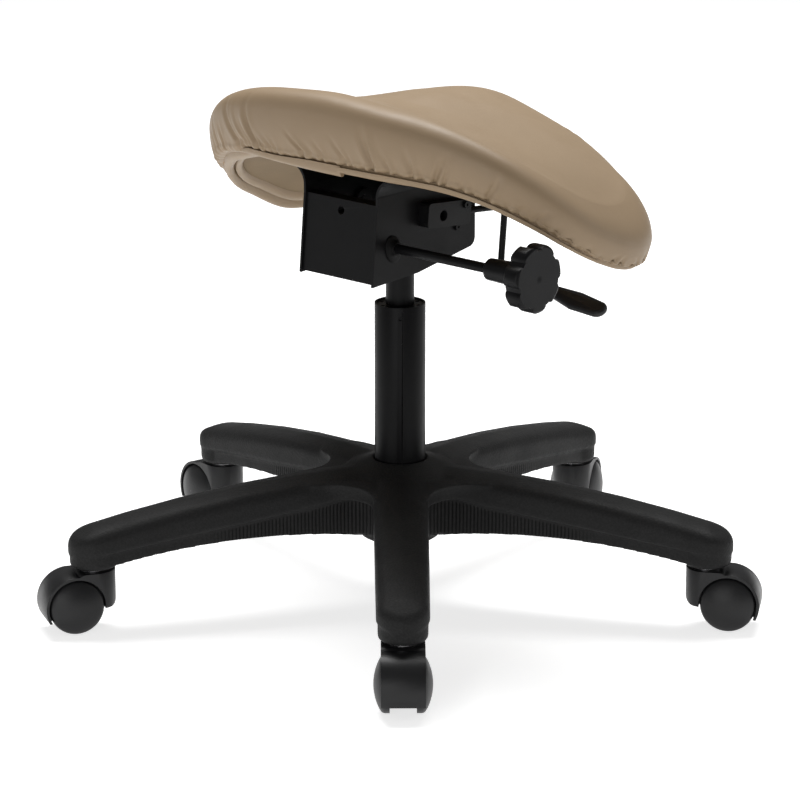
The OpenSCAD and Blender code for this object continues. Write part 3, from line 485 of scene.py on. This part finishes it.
def cushion_rings(angles, crown, edge, side, turn, under):
    """Rings of points over the crown, edge, side, turned hem and underside, so many of each."""
    u, v = outline(angles)
    reach = np.hypot(u, v)
    raised = fold_height(place_of(u, v))
    radius = EDGE_R + EDGE_R_FRONT * v / SEAT_HALF_D + EDGE_R_ENDS * (u / SEAT_HALF_W) ** 2
    rings = []

    def at(distance):
        share = distance / reach
        return u * share, v * share

    def low(a, b):
        return low_height(a, b) + raised

    radius = np.minimum(radius, EDGE_THICK * (top_height(*at(reach - radius)) - low_height(u, v)))
    for share in np.linspace(1 / crown, 1, crown):
        a, b = at(share * (reach - radius))
        rings.append((a, b, top_height(a, b)))
    for w in np.linspace(0, np.pi / 2, edge + 1)[1:]:
        a, b = at(reach - radius * (1 - np.sin(w)))
        rings.append((a, b, top_height(a, b) - radius * (1 - np.cos(w))))
    top = rings[-1][2]
    bottom = np.minimum(low(u, v) + HEM_R, top - MIN_SIDE)
    for share in np.linspace(0, 1, side + 1)[1:]:
        a, b = at(reach - HEM_TUCK * share * share)
        rings.append((a, b, top * (1 - share) + bottom * share))
    for w in np.linspace(0, np.pi / 2, turn + 1)[1:]:
        a, b = at(reach - HEM_TUCK - HEM_R * (1 - np.cos(w)))
        rings.append((a, b, low(a, b) + HEM_R * (1 - np.sin(w))))
    for share in np.linspace(0, 1, under + 1)[1:-1]:
        a, b = at((1 - share) * (reach - HEM_TUCK - HEM_R))
        rise = np.maximum(0, HEM_LIFT - raised) * smoothstep(share, *UNDER_RISE)
        rings.append((a, b, low(a, b) + rise))
    return np.array([np.stack(ring, -1) for ring in rings])


# Gathers seen in the photograph: each crease's upper end (place along the outline, height over the fold), the
# place towards which it bends, its lower end, its width, its depth and how far the vinyl beside it stands up

CREASES = [
    ((818, 62), 822, (842, 10), 3.2, 2.4, 0.8),
    ((830, 56), 832, (850, 8), 2.6, 1.6, 0.7),
    ((842, 50), 841, (858, 7), 2.4, 1.5, 0.8),
    ((850, 44), 848, (864, 7), 2.6, 1.8, 0.9),
    ((864, 58), 858, (876, 8), 3.0, 2.6, 1.0),
    ((872, 30), 874, (886, 7), 2.2, 1.3, 0.6),
    ((886, 22), 892, (898, 7), 2.0, 1.2, 0.7),
    ((900, 20), 902.5, (905, 7), 2.0, 1.0, 0.6),
    ((923, 30), 930, (944, 8), 2.4, 2.0, 0.9),
    ((948, 20), 952, (956, 8), 2.2, 1.2, 0.6),
    ((960, 24), 965, (970, 9), 2.2, 1.5, 0.7),
    ((984, 30), 990, (1000, 8), 2.2, 1.6, 0.8),
    ((1002, 18), 1005, (1008, 6), 1.8, 1.2, 0.7),
    ((1022, 48), 1023, (1034, 8), 2.8, 3.2, 1.1),
    ((1044, 28), 1045, (1053, 6), 2.2, 2.0, 0.9),
    ((1060, 20), 1061, (1062, 6), 2.4, 1.0, 0.6),
    ((1072, 32), 1074, (1080, 5), 2.4, 2.2, 1.0),
    ((1086, 16), 1088, (1090, 5), 2.4, 1.8, 0.8),
    ((1113, 34), 1109, (1104, 4), 2.6, 2.6, 1.4),
    ((1120, 36), 1117, (1113, 6), 2.2, 2.0, 0.6),
    ((1128, 12), 1129.5, (1131, 4), 2.0, 1.2, 0.7),
    ((1140, 12), 1140.5, (1141, 4), 2.0, 1.3, 0.7),
    ((1167, 34), 1161, (1156, 5), 2.2, 2.2, 0.8),
    ((1176, 10), 1175, (1174, 3), 2.2, 1.2, 0.7),
    ((1190, 14), 1188, (1186, 3), 2.4, 1.4, 0.7),
    ((1214, 24), 1206, (1202, 2), 2.8, 1.8, 0.9),
    ((1226, 16), 1223, (1220, 3), 2.4, 1.3, 0.7),
    ((1240, 14), 1238, (1236, 3), 2.2, 1.0, 0.6),
    ((1262, 16), 1260, (1258, 3), 2.4, 1.1, 0.6),
]
# Where the seeded creases start and end, the height of their feet, how far a crease reaches under the
# cushion, and the distance in from the outline over which creases fade from the top
HIDDEN_STARTS = 8.0
HIDDEN_ENDS = 812
CREASE_FOOT = 4
CREASE_REACH = 9
CREASE_FREE_TOP = (24, 46)
# Fine ripples near the fold: their depth, their numbers of waves with a phase each, and how far they reach
RIPPLE = 0.28
RIPPLE_WAVES = ((61, 0.3), (97, 1.9), (143, 4.0))
RIPPLE_H = 7
RIPPLE_UNDER = 4


def crease_list():
    """The creases above and, on the sides that the photograph hides, seeded ones like them."""
    rng = random.Random(11)
    found = list(CREASES)
    at = HIDDEN_STARTS
    while at < HIDDEN_ENDS:
        big = rng.random() > 0.75
        high = rng.uniform(10, 24) * (1.9 if big else 1.0)
        lean = rng.uniform(-10, 10)
        width = rng.uniform(1.9, 2.9)
        depth = rng.uniform(1.0, 1.9) * (1.3 if big else 1.0)
        raised = rng.uniform(0.6, 1.0)
        found.append(((at + lean, high), at + 0.25 * lean, (at, CREASE_FOOT), width, depth, raised))
        at += rng.uniform(9.0, 21.0)
    return found


def ring_normals(rings):
    """Outward normals of the surface through the rings, which run anticlockwise from the top down."""
    forward = np.roll(rings, -1, 1) - np.roll(rings, 1, 1)
    down = np.empty_like(rings)
    down[1:-1] = rings[2:] - rings[:-2]
    down[0], down[-1] = rings[1] - rings[0], rings[-1] - rings[-2]
    normal = np.cross(down, forward)
    return normal / np.maximum(np.linalg.norm(normal, axis=2, keepdims=True), TINY)


def crease_push(crease, place, run):
    """How far one crease pushes the vinyl in, at each place and run of height over the fold."""
    (upper, high), bend, (lower, foot), width, depth, raised = crease
    share = (np.clip(run, foot, high) - foot) / (high - foot)
    line = (1 - share) ** 2 * lower + 2 * share * (1 - share) * bend + share ** 2 * upper
    off = (place - line + GIRTH / 2) % GIRTH - GIRTH / 2
    wide = width * (1 + 0.5 * np.clip(run / high, 0, 1))
    above = 1 - smoothstep(run, 0.25 * high, 1.05 * high)
    fade = np.where(run > 0, above, 1 - smoothstep(-run, 0, CREASE_REACH))
    swell = bell((off - 1.9 * wide) / (1.2 * wide)) + 0.6 * bell((off + 1.9 * wide) / (1.3 * wide))
    return depth * fade * (bell(off / wide) - 0.45 * raised * swell)


def creased(rings, angles):
    """The rings with puckers that start at the turned hem and fade up the cushion's side."""
    u, v = outline(angles)
    place = place_of(u, v)[None]
    number = np.arange(len(rings))[:, None]
    middle = len(rings) // 2
    height = rings[:, :, 2]
    inward = np.hypot(u, v)[None] - np.hypot(rings[:, :, 0], rings[:, :, 1])
    fold = low_height(rings[:, :, 0], rings[:, :, 1]) + fold_height(place)
    under = (number > middle) & (height < fold + 0.5 * HEM_R)
    run = np.where(under, -np.maximum(0, inward - HEM_TUCK), height - fold + 0.5)
    push = sum(crease_push(crease, place, run) for crease in crease_list())
    ripple = RIPPLE * sum(np.sin(math.tau * place / GIRTH * waves + phase) for waves, phase in RIPPLE_WAVES)
    push -= ripple * bell(np.maximum(run, 0) / RIPPLE_H) * (run > -RIPPLE_UNDER)
    on_top = smoothstep(inward, *CREASE_FREE_TOP) * (number < middle)
    return rings - ring_normals(rings) * (push * (1 - on_top))[..., None]


# The core for the cloth simulation: points round it, how much smaller it is, its voxels and the height over
# the board up to which it is held; then the frames, the cap on its moves, and their smoothing

CORE_STEPS = 160
CORE_INSET = 2.5
CORE_VOXEL = 6
HELD_H = 14
PRESS_FRAMES = 20
PRESS_CAP = 5
PRESS_NEIGHBOURS = 10
PRESS_SOFT = 2
BLUR_REACH = 45
BLUR_WIDTH = 18
BLUR_PASSES = 60
CALM_RINGS = 12


def pressed_core(points, faces):
    """Presses a slightly smaller core out as cloth; gives where its points start and how far they move."""
    core = mesh_piece("cushion_core", points, faces, "tan_vinyl")
    move_points(core.data, points_of(core.data) - vertex_values(core.data, "normal") * CORE_INSET)
    add_modifier(core, "voxels", "REMESH", mode="VOXEL", voxel_size=CORE_VOXEL * MM)
    bake(core)
    start = points_of(core.data)
    held = start[:, 2] < low_height(start[:, 0], start[:, 1] - SEAT_FWD) + HELD_H
    group = core.vertex_groups.new(name="held")
    group.add(np.nonzero(held)[0].tolist(), 1.0, "REPLACE")
    cloth = core.modifiers.new("cover", "CLOTH")
    cloth.settings.quality = 5
    cloth.settings.mass = 0.3
    cloth.settings.tension_stiffness = 25
    cloth.settings.compression_stiffness = 25
    cloth.settings.shear_stiffness = 12
    cloth.settings.bending_stiffness = 4
    cloth.settings.use_pressure = True
    cloth.settings.uniform_pressure_force = 4
    cloth.settings.vertex_group_mass = "held"
    cloth.settings.effector_weights.gravity = 0
    cloth.collision_settings.use_collision = False
    cloth.point_cache.frame_start = 1
    cloth.point_cache.frame_end = PRESS_FRAMES
    for step in range(1, PRESS_FRAMES + 1):
        bpy.context.scene.frame_set(step)
    bake(core)
    move = points_of(core.data) - start
    bpy.context.scene.frame_set(1)
    bpy.data.objects.remove(core, do_unlink=True)
    size = np.linalg.norm(move, axis=1, keepdims=True)
    return start, move * np.minimum(1, PRESS_CAP / np.maximum(size, TINY))


def carried_over(start, move, points):
    """The moves of the start points nearest to each of the given points, weighted by their distance."""
    tree = kdtree.KDTree(len(start))
    for i, place in enumerate(start):
        tree.insert(place, i)
    tree.balance()
    shift = np.empty_like(points)
    for i, place in enumerate(points):
        near = tree.find_n(place, PRESS_NEIGHBOURS)
        weights = np.array([1 / (distance + PRESS_SOFT) ** 2 for _, _, distance in near])
        shift[i] = (weights[:, None] * move[[index for _, index, _ in near]]).sum(0) / weights.sum()
    return shift


def inflated(rings):
    """The cushion's form after its cover is put under pressure over a slightly smaller core."""
    coarse = cushion_rings(even_angles(CORE_STEPS), crown=24, edge=12, side=12, turn=6, under=10)
    start, move = pressed_core(*closed_rings(placed(coarse)))
    shift = carried_over(start, move, placed(rings).reshape(-1, 3)).reshape(rings.shape)
    steps = np.arange(-BLUR_REACH, BLUR_REACH + 1)
    kernel = bell(steps / BLUR_WIDTH)
    kernel /= kernel.sum()
    shift = sum(weight * np.roll(shift, step, 1) for step, weight in zip(steps, kernel))
    for _ in range(BLUR_PASSES):
        shift[1:-1] = (shift[2:] + 2 * shift[1:-1] + shift[:-2]) / 4
    middle = shift[CALM_RINGS].mean(0)
    for i in range(CALM_RINGS):
        shift[i] = middle + (shift[CALM_RINGS] - middle) * i / CALM_RINGS
    return rings + shift


def cushion_cover():
    angles = even_angles(COVER_STEPS)
    rings = cushion_rings(angles, crown=44, edge=26, side=40, turn=14, under=24)
    rings = inflated(rings)
    points, faces = closed_rings(placed(creased(rings, angles)))
    cushion = mesh_piece("cushion_cover", points, faces, "tan_vinyl", "seat")
    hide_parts("seat_cushion")


cushion_cover()


# The hem: rolls, a tab and piping under the cushion's edge. A profile gives pairs of inset from the outline
# and height over the board, each for all places along the outline.

STRIP_STEPS = 480
STRIP_STEP = 2.4
STRIP_WAVES = (7, 13, 22, 37, 61)
STRIP_RISE = 0.25
STRIP_SHIFT = 9
ROLL_STEPS = 9
ROLL_TOP = 0.4
ROLL_POWER = 0.6


def wandering(place, seed):
    """Seeded waves along the outline."""
    rng = np.random.default_rng(seed)
    drift = np.zeros(len(place))
    for waves in STRIP_WAVES:
        size = rng.uniform(0.3, 1) / math.sqrt(waves)
        drift += size * np.sin(math.tau * place / GIRTH * waves + rng.uniform(0, 6.28))
    return drift


def strip_rings(angles, profile, wave, seed):
    """Loops of a closed strip that wanders a little along the outline."""
    u, v = outline(angles)
    reach = np.hypot(u, v)
    place = place_of(u, v)
    drift = wave * wandering(place, seed)
    lift = STRIP_RISE * np.roll(drift, STRIP_SHIFT)
    loops = []
    for inset, height in profile(place):
        share = (reach - inset - drift) / reach
        a, b = u * share, v * share
        loops.append(np.stack([a, b, low_height(a, b) + height + lift], -1))
    return np.array(loops)


def roll(inset, width, bottom, top):
    """Profile of a soft roll that hangs below a flat top; its numbers may change along the outline."""
    profile = [(inset, top)]
    for w in np.linspace(0, math.pi, ROLL_STEPS + 1):
        hang = (bottom - top + ROLL_TOP) * math.sin(w) ** ROLL_POWER
        profile.append((inset + width / 2 * (1 - math.cos(w)), top - ROLL_TOP + hang))
    profile.append((inset + width, top))
    return profile


def ring_strip(name, profile, wave, seed, ends=None):
    """A strip round the whole outline, or between two places with closed ends."""
    if ends is None:
        angles = even_angles(STRIP_STEPS)
    else:
        first, last = ends
        angles = angles_at(np.linspace(first, last, int((last - first) / STRIP_STEP)))
    loops = placed(strip_rings(angles, profile, wave, seed))
    m, n = loops.shape[:2]
    faces = tube_faces(m, n)
    if ends is not None:
        faces = [quad for i, quad in enumerate(faces) if i % n < n - 1]
        faces += [tuple(range(0, m * n, n))[::-1], tuple(range(n - 1, m * n, n))]
    return mesh_piece(name, loops.reshape(-1, 3), faces, "tan_vinyl", "seat", sharp=60)


def band_share(place):
    """How far the doubled band shows: fully on the left flank, not at all past its tab."""
    return between(place, BAND_STARTS, BAND_ENDS)


def outer_profile(place):
    band = band_share(place)
    drawn_in = between(place, DRAWN_IN_STARTS, DRAWN_IN_ENDS)
    deep = between(place, DEEP_STARTS, DEEP_ENDS)
    near = between(place, NEAR_STARTS, NEAR_ENDS)
    past = between(place, PAST_TAB, NEAR_ENDS)
    inset = 9.0 + 1.5 * band + 6.0 * drawn_in
    width = 9.0 + 1.0 * band + 2.0 * drawn_in
    bottom = -1.0 - 5.0 * deep - 1.0 * band + 2.3 * near + 1.2 * past
    return roll(inset, width, bottom, fold_height(place) + 1.0)


def inner_profile(place):
    band = band_share(place)
    drawn_in = between(place, DRAWN_IN_STARTS, DRAWN_IN_ENDS)
    deep = between(place, DEEP_STARTS, DEEP_ENDS)
    return roll(18.5 + 2.0 * band + 8.0 * drawn_in, 8.0 + 1.5 * band, -0.8 - 3.5 * deep, 4.0)


def tab_profile(place):
    grown = smoothstep(place, *TAB_GROWS)
    return roll(6.5 - 0.5 * grown, 9.0, 0.8 - 2.4 * grown, fold_height(place) - 0.5)


def piping_profile(place):
    high = 1 - smoothstep(place, *FOLD_HIGH_ENDS)
    end = smoothstep(place, *PIPING_TAPERS)
    return roll(5.5 + 3.0 * end, 4.6, -0.4 + 2.9 * high + 2.4 * end, 3.6 + 4.2 * high)


outer_roll = ring_strip("hem_roll_outer", outer_profile, wave=0.5, seed=5)
ring_strip("hem_roll_inner", inner_profile, wave=0.5, seed=5)
ring_strip("hem_tab", tab_profile, wave=0.1, seed=7, ends=TAB_ENDS)
ring_strip("hem_piping", piping_profile, wave=0.1, seed=9, ends=PIPING_ENDS)
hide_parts("hem_band")


# The dust cloth

CLOTH_STEPS = 360
CLOTH_RINGS = 60
CLOTH_MIDDLE = 0.02
CLOTH_INSET = 24
CLOTH_H = 1.05
CLOTH_T = 0.9
CLOTH_SAG = 0.5
CLOTH_FREE = (90, 130)


def dust_cover():
    """The cloth under the board, drawn taut, with a slight sag where it is free of the board's middle."""
    u, v = outline(even_angles(CLOTH_STEPS))
    reach = np.hypot(u, v)
    rings = []
    for q in np.linspace(CLOTH_MIDDLE, 1, CLOTH_RINGS):
        share = q * (reach - CLOTH_INSET) / reach
        a, b = u * share, v * share
        sag = CLOTH_SAG * np.sin(np.pi * q) * smoothstep(np.abs(a), *CLOTH_FREE)
        rings.append(np.stack([a, b, low_height(a, b) + CLOTH_H - sag], -1))
    rings = placed(np.array(rings))
    upper = rings[::-1] + np.array([0, 0, CLOTH_T])
    points, faces = closed_rings(np.concatenate([rings, upper]))
    obj = mesh_piece("dust_cover", points, [f[::-1] for f in faces], "tan_cloth", "seat", sharp=60)
    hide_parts("dust_cloth")


dust_cover()


# The moulded base: the CAD star, remeshed finely so that its edges and the roots of its legs run together

HALF_GAP = math.radians(36)
HALF_FILLET = math.pi / 2 - HALF_GAP
LEGS = [math.radians(-47.5) + 2 * HALF_GAP * k for k in range(5)]
GAPS = [leg + HALF_GAP for leg in LEGS]
FILLET_STEPS = 14
# The plate under the cap: half width and corner radius between the legs, then its heights and insets
PLATE_HALF = 26.4
PLATE_R = 36.0
PLATE = ((113.0, 3.0), (113.6, 1.2), (114.6, 0.0), (119.0, 0.0), (123.0, 1.4), (126.5, 4.0), (129.0, 8.0),
         (130.6, 13.0))
BORE_R = 31
BORE_STEPS = 15
# The walls below it: half width and corner radius of their outer and inner faces, and their two ends
WALL_OUTER = (19.8, 28.0)
WALL_INNER = (16.8, 31.0)
WALL_LOW = 74.0
WALL_HIGH = 116.0
BASE_VOXEL = 1.6
# Heights and distances from the column between which the corners between the legs are softened further
HUB_TOPS = (96, 104)
HUB_STARTS = (33, 37)
HUB_ENDS = (95, 130)
# The dishes in the caps' outer ends: depth, half width, distances along the leg and heights where they set in
SCOOP = 4.5
SCOOP_HALF_W = 24
SCOOP_STARTS = (312, 334)
SCOOP_ABOVE = (66, 78)
# Height of the caps' lips at some distances out along the legs
LIP_PLACES = (60, 75, 100, 200, 300)
LIP_HEIGHTS = (112, 111, 105.5, 92.7, 79.8)
# The ribs: depth, height of the wave at which a groove is full, slope of the sides that carry them, distances
# below the lips where they end, where they end along the legs and start near the column, the least mask that
# gets a finer mesh, and how far past the arc of a corner its ribs are counted
RIB_DEPTH = 0.4
RIB_GROOVE = 0.9
RIB_STEEP = (0.3, 0.6)
RIB_LOWER = 5
RIB_UPPER = 2
RIBS_END = (170, 215)
RIBS_START = (40, 44)
RIB_FINE = 0.02
FILLET_REACH = 14


def leg_places(places):
    """For each point: its distance out along the nearest leg and its distance across it."""
    best = np.full(len(places), np.inf)
    out, across = np.zeros(len(places)), np.zeros(len(places))
    for leg in LEGS:
        ahead = places[:, 0] * math.cos(leg) + places[:, 1] * math.sin(leg)
        side = -places[:, 0] * math.sin(leg) + places[:, 1] * math.cos(leg)
        off = np.where(ahead > 0, np.abs(side), np.inf)
        near = off < best
        best[near], across[near], out[near] = off[near], side[near], ahead[near]
    return out, across


def fillet_centre(half, radius):
    """Distance from the column to the middle of the arc that rounds the corner between two legs."""
    return (half + radius) / math.sin(HALF_GAP)


def fillet_points(gap, half, radius):
    """Arc that rounds the corner between two legs whose sides stand half away from their middle lines."""
    away = fillet_centre(half, radius)
    turns = [gap + math.pi + HALF_FILLET * (1 - 2 * i / FILLET_STEPS) for i in range(FILLET_STEPS + 1)]
    return [(away * math.cos(gap) + radius * math.cos(t), away * math.sin(gap) + radius * math.sin(t))
            for t in turns]


def plate_ring(z, inset):
    return [(x, y, z) for gap in GAPS for x, y in fillet_points(gap, PLATE_HALF, PLATE_R + inset)]


def bore_ring(z):
    shares = [(i + 0.5) / BORE_STEPS - 0.5 for i in range(BORE_STEPS)]
    turns = [gap + 2 * HALF_GAP * share for gap in GAPS for share in shares]
    return [(BORE_R * math.cos(turn), BORE_R * math.sin(turn), z) for turn in turns]


def webs():
    """Closed bodies that web the legs together at the hub: a plate under the cap and walls below it."""
    rings = [plate_ring(z, inset) for z, inset in PLATE] + [bore_ring(PLATE[-1][0]), bore_ring(PLATE[0][0])]
    points = [point for ring in rings for point in ring]
    faces = tube_faces(len(rings), len(rings[0]))
    for gap in GAPS:
        loop = fillet_points(gap, *WALL_OUTER) + fillet_points(gap, *WALL_INNER)[::-1]
        n, start = len(loop), len(points)
        points += [(x, y, z) for z in (WALL_LOW, WALL_HIGH) for x, y in loop]
        faces += tube_faces(2, n, start)[:n]
        faces += [tuple(range(start, start + n))[::-1], tuple(range(start + n, start + 2 * n))]
    me = bpy.data.meshes.new("webs")
    me.from_pydata([(x * MM, y * MM, z * MM) for x, y, z in points], [], faces)
    edit_mesh(me, turn_outward)
    return me


def rib_places(places, out):
    """Distance along a leg's side, carried on round the corners between the legs."""
    half, radius = WALL_OUTER
    away = fillet_centre(half, radius)
    end = away * math.cos(HALF_GAP)
    ribs = out.copy()
    for gap in GAPS:
        dx, dy = places[:, 0] - away * math.cos(gap), places[:, 1] - away * math.sin(gap)
        turn = np.abs((np.arctan2(dy, dx) - gap) % math.tau - math.pi)
        inside = (np.hypot(dx, dy) < radius + FILLET_REACH) & (turn < HALF_FILLET)
        ribs = np.where(inside, end - radius * (HALF_FILLET - turn), ribs)
    return ribs


def rib_mask(places, facing, out):
    """How strongly the ribs show: on the upright sides below the caps' lips, fading out along the legs."""
    lip = np.interp(out, LIP_PLACES, LIP_HEIGHTS)
    upright = 1 - smoothstep(np.abs(facing[:, 2]), *RIB_STEEP)
    below = 1 - smoothstep(places[:, 2], lip - RIB_LOWER, lip - RIB_UPPER)
    hub = smoothstep(np.hypot(places[:, 0], places[:, 1]), *RIBS_START)
    return upright * below * (1 - smoothstep(out, *RIBS_END)) * hub


def weigh(obj, name, weights):
    """Gives obj a vertex group with these weights, in ten levels."""
    group = obj.vertex_groups.new(name=name)
    levels = np.round(weights * 10).astype(int)
    for level in range(1, 11):
        group.add(np.nonzero(levels == level)[0].tolist(), level / 10, "REPLACE")


def blend_hub(obj):
    """Softens the tops of the corners between the legs."""
    places = points_of(obj.data)
    radius = np.hypot(places[:, 0], places[:, 1])
    weigh(obj, "corners", smoothstep(places[:, 2], *HUB_TOPS) * between(radius, HUB_STARTS, HUB_ENDS))
    add_modifier(obj, "blend", "SMOOTH", factor=0.5, iterations=30, vertex_group="corners")
    bake(obj)


def dish_caps(obj):
    """Dishes the tops of the legs' outer ends."""
    places = points_of(obj.data)
    out, across = leg_places(places)
    hollow = np.maximum(0, 1 - (across / SCOOP_HALF_W) ** 2)
    places[:, 2] -= SCOOP * hollow * smoothstep(out, *SCOOP_STARTS) * smoothstep(places[:, 2], *SCOOP_ABOVE)
    move_points(obj.data, places)


def cut_ribs(obj):
    """Cuts the fine ribs into a finer mesh of the legs' sides, and keeps their places for the material."""
    places = points_of(obj.data)
    fine = rib_mask(places, vertex_values(obj.data, "normal"), leg_places(places)[0]) > RIB_FINE

    def refine(bm):
        edges = [e for e in bm.edges if fine[e.verts[0].index] and fine[e.verts[1].index]]
        bmesh.ops.subdivide_edges(bm, edges=edges, cuts=1, use_grid_fill=True)

    edit_mesh(obj.data, refine)
    places, facing = points_of(obj.data), vertex_values(obj.data, "normal")
    out = leg_places(places)[0]
    mask, ribs = rib_mask(places, facing, out), rib_places(places, out)
    groove = np.clip(np.sin(math.tau * ribs / RIB_STEP) / RIB_GROOVE, 0, 1)
    for name, values in (("rib", ribs), ("rib_mask", mask)):
        layer = obj.data.attributes.new(name, "FLOAT", "POINT")
        layer.data.foreach_set("value", values.astype(np.float32))
    move_points(obj.data, places - facing * (RIB_DEPTH * groove * mask)[:, None])


def moulded_base():
    obj = added("star_base_moulding", NODES["star_base"].data.copy())
    web_mesh = webs()
    edit_mesh(obj.data, lambda bm: bm.from_mesh(web_mesh))
    obj.data.materials.clear()
    obj.data.materials.append(MATS["base_nylon"])
    add_modifier(obj, "voxels", "REMESH", mode="VOXEL", voxel_size=BASE_VOXEL * MM)
    add_modifier(obj, "even", "SMOOTH", factor=0.5, iterations=5)
    bake(obj)
    blend_hub(obj)
    dish_caps(obj)
    cut_ribs(obj)
    obj.data.shade_smooth()
    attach(obj, "base")
    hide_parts("star_base")


moulded_base()


# The clamp's rubber boot, its dark oval also painted shade round the rod: the middle of its slot as (y, z),
# the slot's direction, the half sizes of its oval foot, the radius of its round neck and of the hole for the
# rod

BOOT_AT = np.array([-64.0, 374.5])
BOOT_DOWN = np.array([0.363, -0.932])
BOOT_LOW = 1.6
BOOT_HALF_L = 14.2
BOOT_HALF_W = 10.6
BOOT_NECK = 13.2
BOOT_HOLE = 5.0
BOOT_STEPS = 64
# Places along the rod, each with a share of the size and a share of roundness
BOOT = ((48.3, 1.0, 0.0), (48.8, 1.0, 0.0), (49.3, 0.95, 0.1), (49.7, 0.84, 0.3), (50.2, 0.7, 0.6),
        (51.0, 0.58, 0.9), (52.5, 0.5, 1.0), (54.2, 0.5, 1.0), (54.8, 0.47, 1.0))


def clamp_boot_and_shade():
    """Boot that closes the slot round the clamp rod, on the housing's side of the tilt; its dark oval is also
    painted shade of the recess round the rod.
    """
    across = np.array([-BOOT_DOWN[1], BOOT_DOWN[0]])
    turns = math.tau * np.arange(BOOT_STEPS) / BOOT_STEPS
    c, s = np.cos(turns)[:, None], np.sin(turns)[:, None]
    circle = BOOT_DOWN * c + across * s
    oval = BOOT_DOWN * (BOOT_LOW + BOOT_HALF_L * c) + across * BOOT_HALF_W * s
    neck = circle * BOOT_NECK
    loops = [(x, share * (oval * (1 - rounded) + neck * rounded)) for x, share, rounded in BOOT]
    loops += [(x, circle * BOOT_HOLE) for x in (BOOT[-1][0], BOOT[0][0])]
    points = [(x, *place) for x, loop in loops for place in BOOT_AT + loop]
    faces = tube_faces(len(loops), BOOT_STEPS)
    # Dark rubber, which also paints the shade of the recess round the rod
    boot = mesh_piece("clamp_boot_and_shade", points, faces, "black_rubber", "lift", sharp=50)
    edit_mesh(boot.data, turn_outward)


clamp_boot_and_shade()


# CAD nodes that are carried over: their materials, and a small bevel that catches the light

SLOTS = {part["node"]: part["material_slot"] for part in frame["record"]["subparts"]}
STOOD_FOR = ("seat_cushion", "hem_band", "star_base", "dust_cloth")
WELD = 0.01
BEVEL = 0.6
BEVEL_FROM = math.radians(32)
WIDER = {"lever_block": 1.6, "clamp_knob": 1.0, "seat_bracket": 0.8, "socket_housing": 1.0}

for name, obj in NODES.items():
    if name not in STOOD_FOR:
        obj.data.materials.clear()
        obj.data.materials.append(MATS[SLOTS[name]])
        add_modifier(obj, "weld", "WELD", merge_threshold=WELD * MM)
        add_modifier(obj, "bevel", "BEVEL", width=WIDER.get(name, BEVEL) * MM, segments=2,
                     limit_method="ANGLE", angle_limit=BEVEL_FROM, harden_normals=False)


# Stage: floor, lights, world and camera, in metres

VIEW_TURN = math.radians(42)
VIEW_TILT = math.radians(73.84)
CAMERA_AT = (2.5112, -2.7890, 1.2879)
FLOOR_HALF = 16.0
WHITE = (1, 1, 1, 1)


def floor_material():
    """Pale floor that glows a little more where it is seen, directly or in a reflection."""
    g = Graph("floor")
    path = g.node("ShaderNodeLightPath").outputs
    mirrored = g.math("MAXIMUM", path["Is Glossy Ray"], path["Is Transmission Ray"])
    seen = g.math("MAXIMUM", path["Is Camera Ray"], mirrored)
    diffuse = g.node("ShaderNodeBsdfDiffuse", {"Color": (0.7, 0.7, 0.7, 1.0)})
    glow = g.node("ShaderNodeEmission", {"Color": WHITE, "Strength": 0.72})
    bounce = g.node("ShaderNodeEmission", {"Color": WHITE, "Strength": 0.55})
    lit = g.node("ShaderNodeAddShader", {0: diffuse.outputs[0], 1: bounce.outputs[0]})
    both = g.node("ShaderNodeAddShader", {0: diffuse.outputs[0], 1: glow.outputs[0]})
    mixed = g.node("ShaderNodeMixShader", {0: seen, 1: lit.outputs[0], 2: both.outputs[0]})
    g.put(g.out.inputs["Surface"], mixed.outputs[0])
    return g.mat


def add_floor():
    me = bpy.data.meshes.new("floor")
    corners = [(x * FLOOR_HALF, y * FLOOR_HALF, 0) for x, y in ((-1, -1), (1, -1), (1, 1), (-1, 1))]
    me.from_pydata(corners, [], [(0, 1, 2, 3)])
    me.materials.append(floor_material())
    obj = added("floor", me)
    obj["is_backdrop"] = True


def area_light(name, place, aim, size, power):
    data = bpy.data.lights.new(name, "AREA")
    data.shape = "RECTANGLE"
    data.size, data.size_y = size
    data.energy = power
    obj = added(name, data)
    obj.location = place
    obj.rotation_euler = (aim - place).to_track_quat("-Z", "Y").to_euler()


def add_lights():
    """Lights placed by the camera's view: right and back are seen from it."""
    right = Vector((math.cos(VIEW_TURN), math.sin(VIEW_TURN), 0))
    back = Vector((-math.sin(VIEW_TURN), math.cos(VIEW_TURN), 0))
    up = Vector((0, 0, 1))
    aim = Vector((0, 0, 0.35))
    area_light("top", aim + up * 2.3 + back * 0.95, aim, (2.4, 1.0), 92)
    area_light("front", aim - back * 2.6 - right * 0.8 + up * 0.25, aim, (1.8, 1.0), 13)
    area_light("left", aim - right * 2.3 + back * 0.2 + up * 0.7, aim, (0.9, 1.8), 2)
    area_light("right", aim + right * 2.3 + back * 0.2 + up * 0.7, aim, (0.9, 1.8), 5)


def add_world():
    world = bpy.data.worlds.new("studio")
    world.use_nodes = True
    tree = world.node_tree
    tree.nodes.clear()
    out = tree.nodes.new("ShaderNodeOutputWorld")
    background = tree.nodes.new("ShaderNodeBackground")
    background.inputs["Color"].default_value = WHITE
    background.inputs["Strength"].default_value = 0.16
    tree.links.new(background.outputs[0], out.inputs["Surface"])
    bpy.context.scene.world = world


def add_camera():
    camera = bpy.data.cameras.new("camera")
    camera.sensor_width = 36.0
    camera.lens = 178.6
    camera.clip_end = 100
    obj = added("camera", camera)
    obj.location = CAMERA_AT
    obj.rotation_euler = (VIEW_TILT, 0, VIEW_TURN)
    bpy.context.scene.camera = obj


add_floor()
add_lights()
add_world()
add_camera()
bpy.context.scene.view_settings.view_transform = "Standard"
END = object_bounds()


def plain(b):
    return [[float(x) for x in c] for c in b] if not isinstance(b, dict) else \
        {k: plain(v) for k, v in b.items()}


{"start": plain(START), "end": plain(END)}
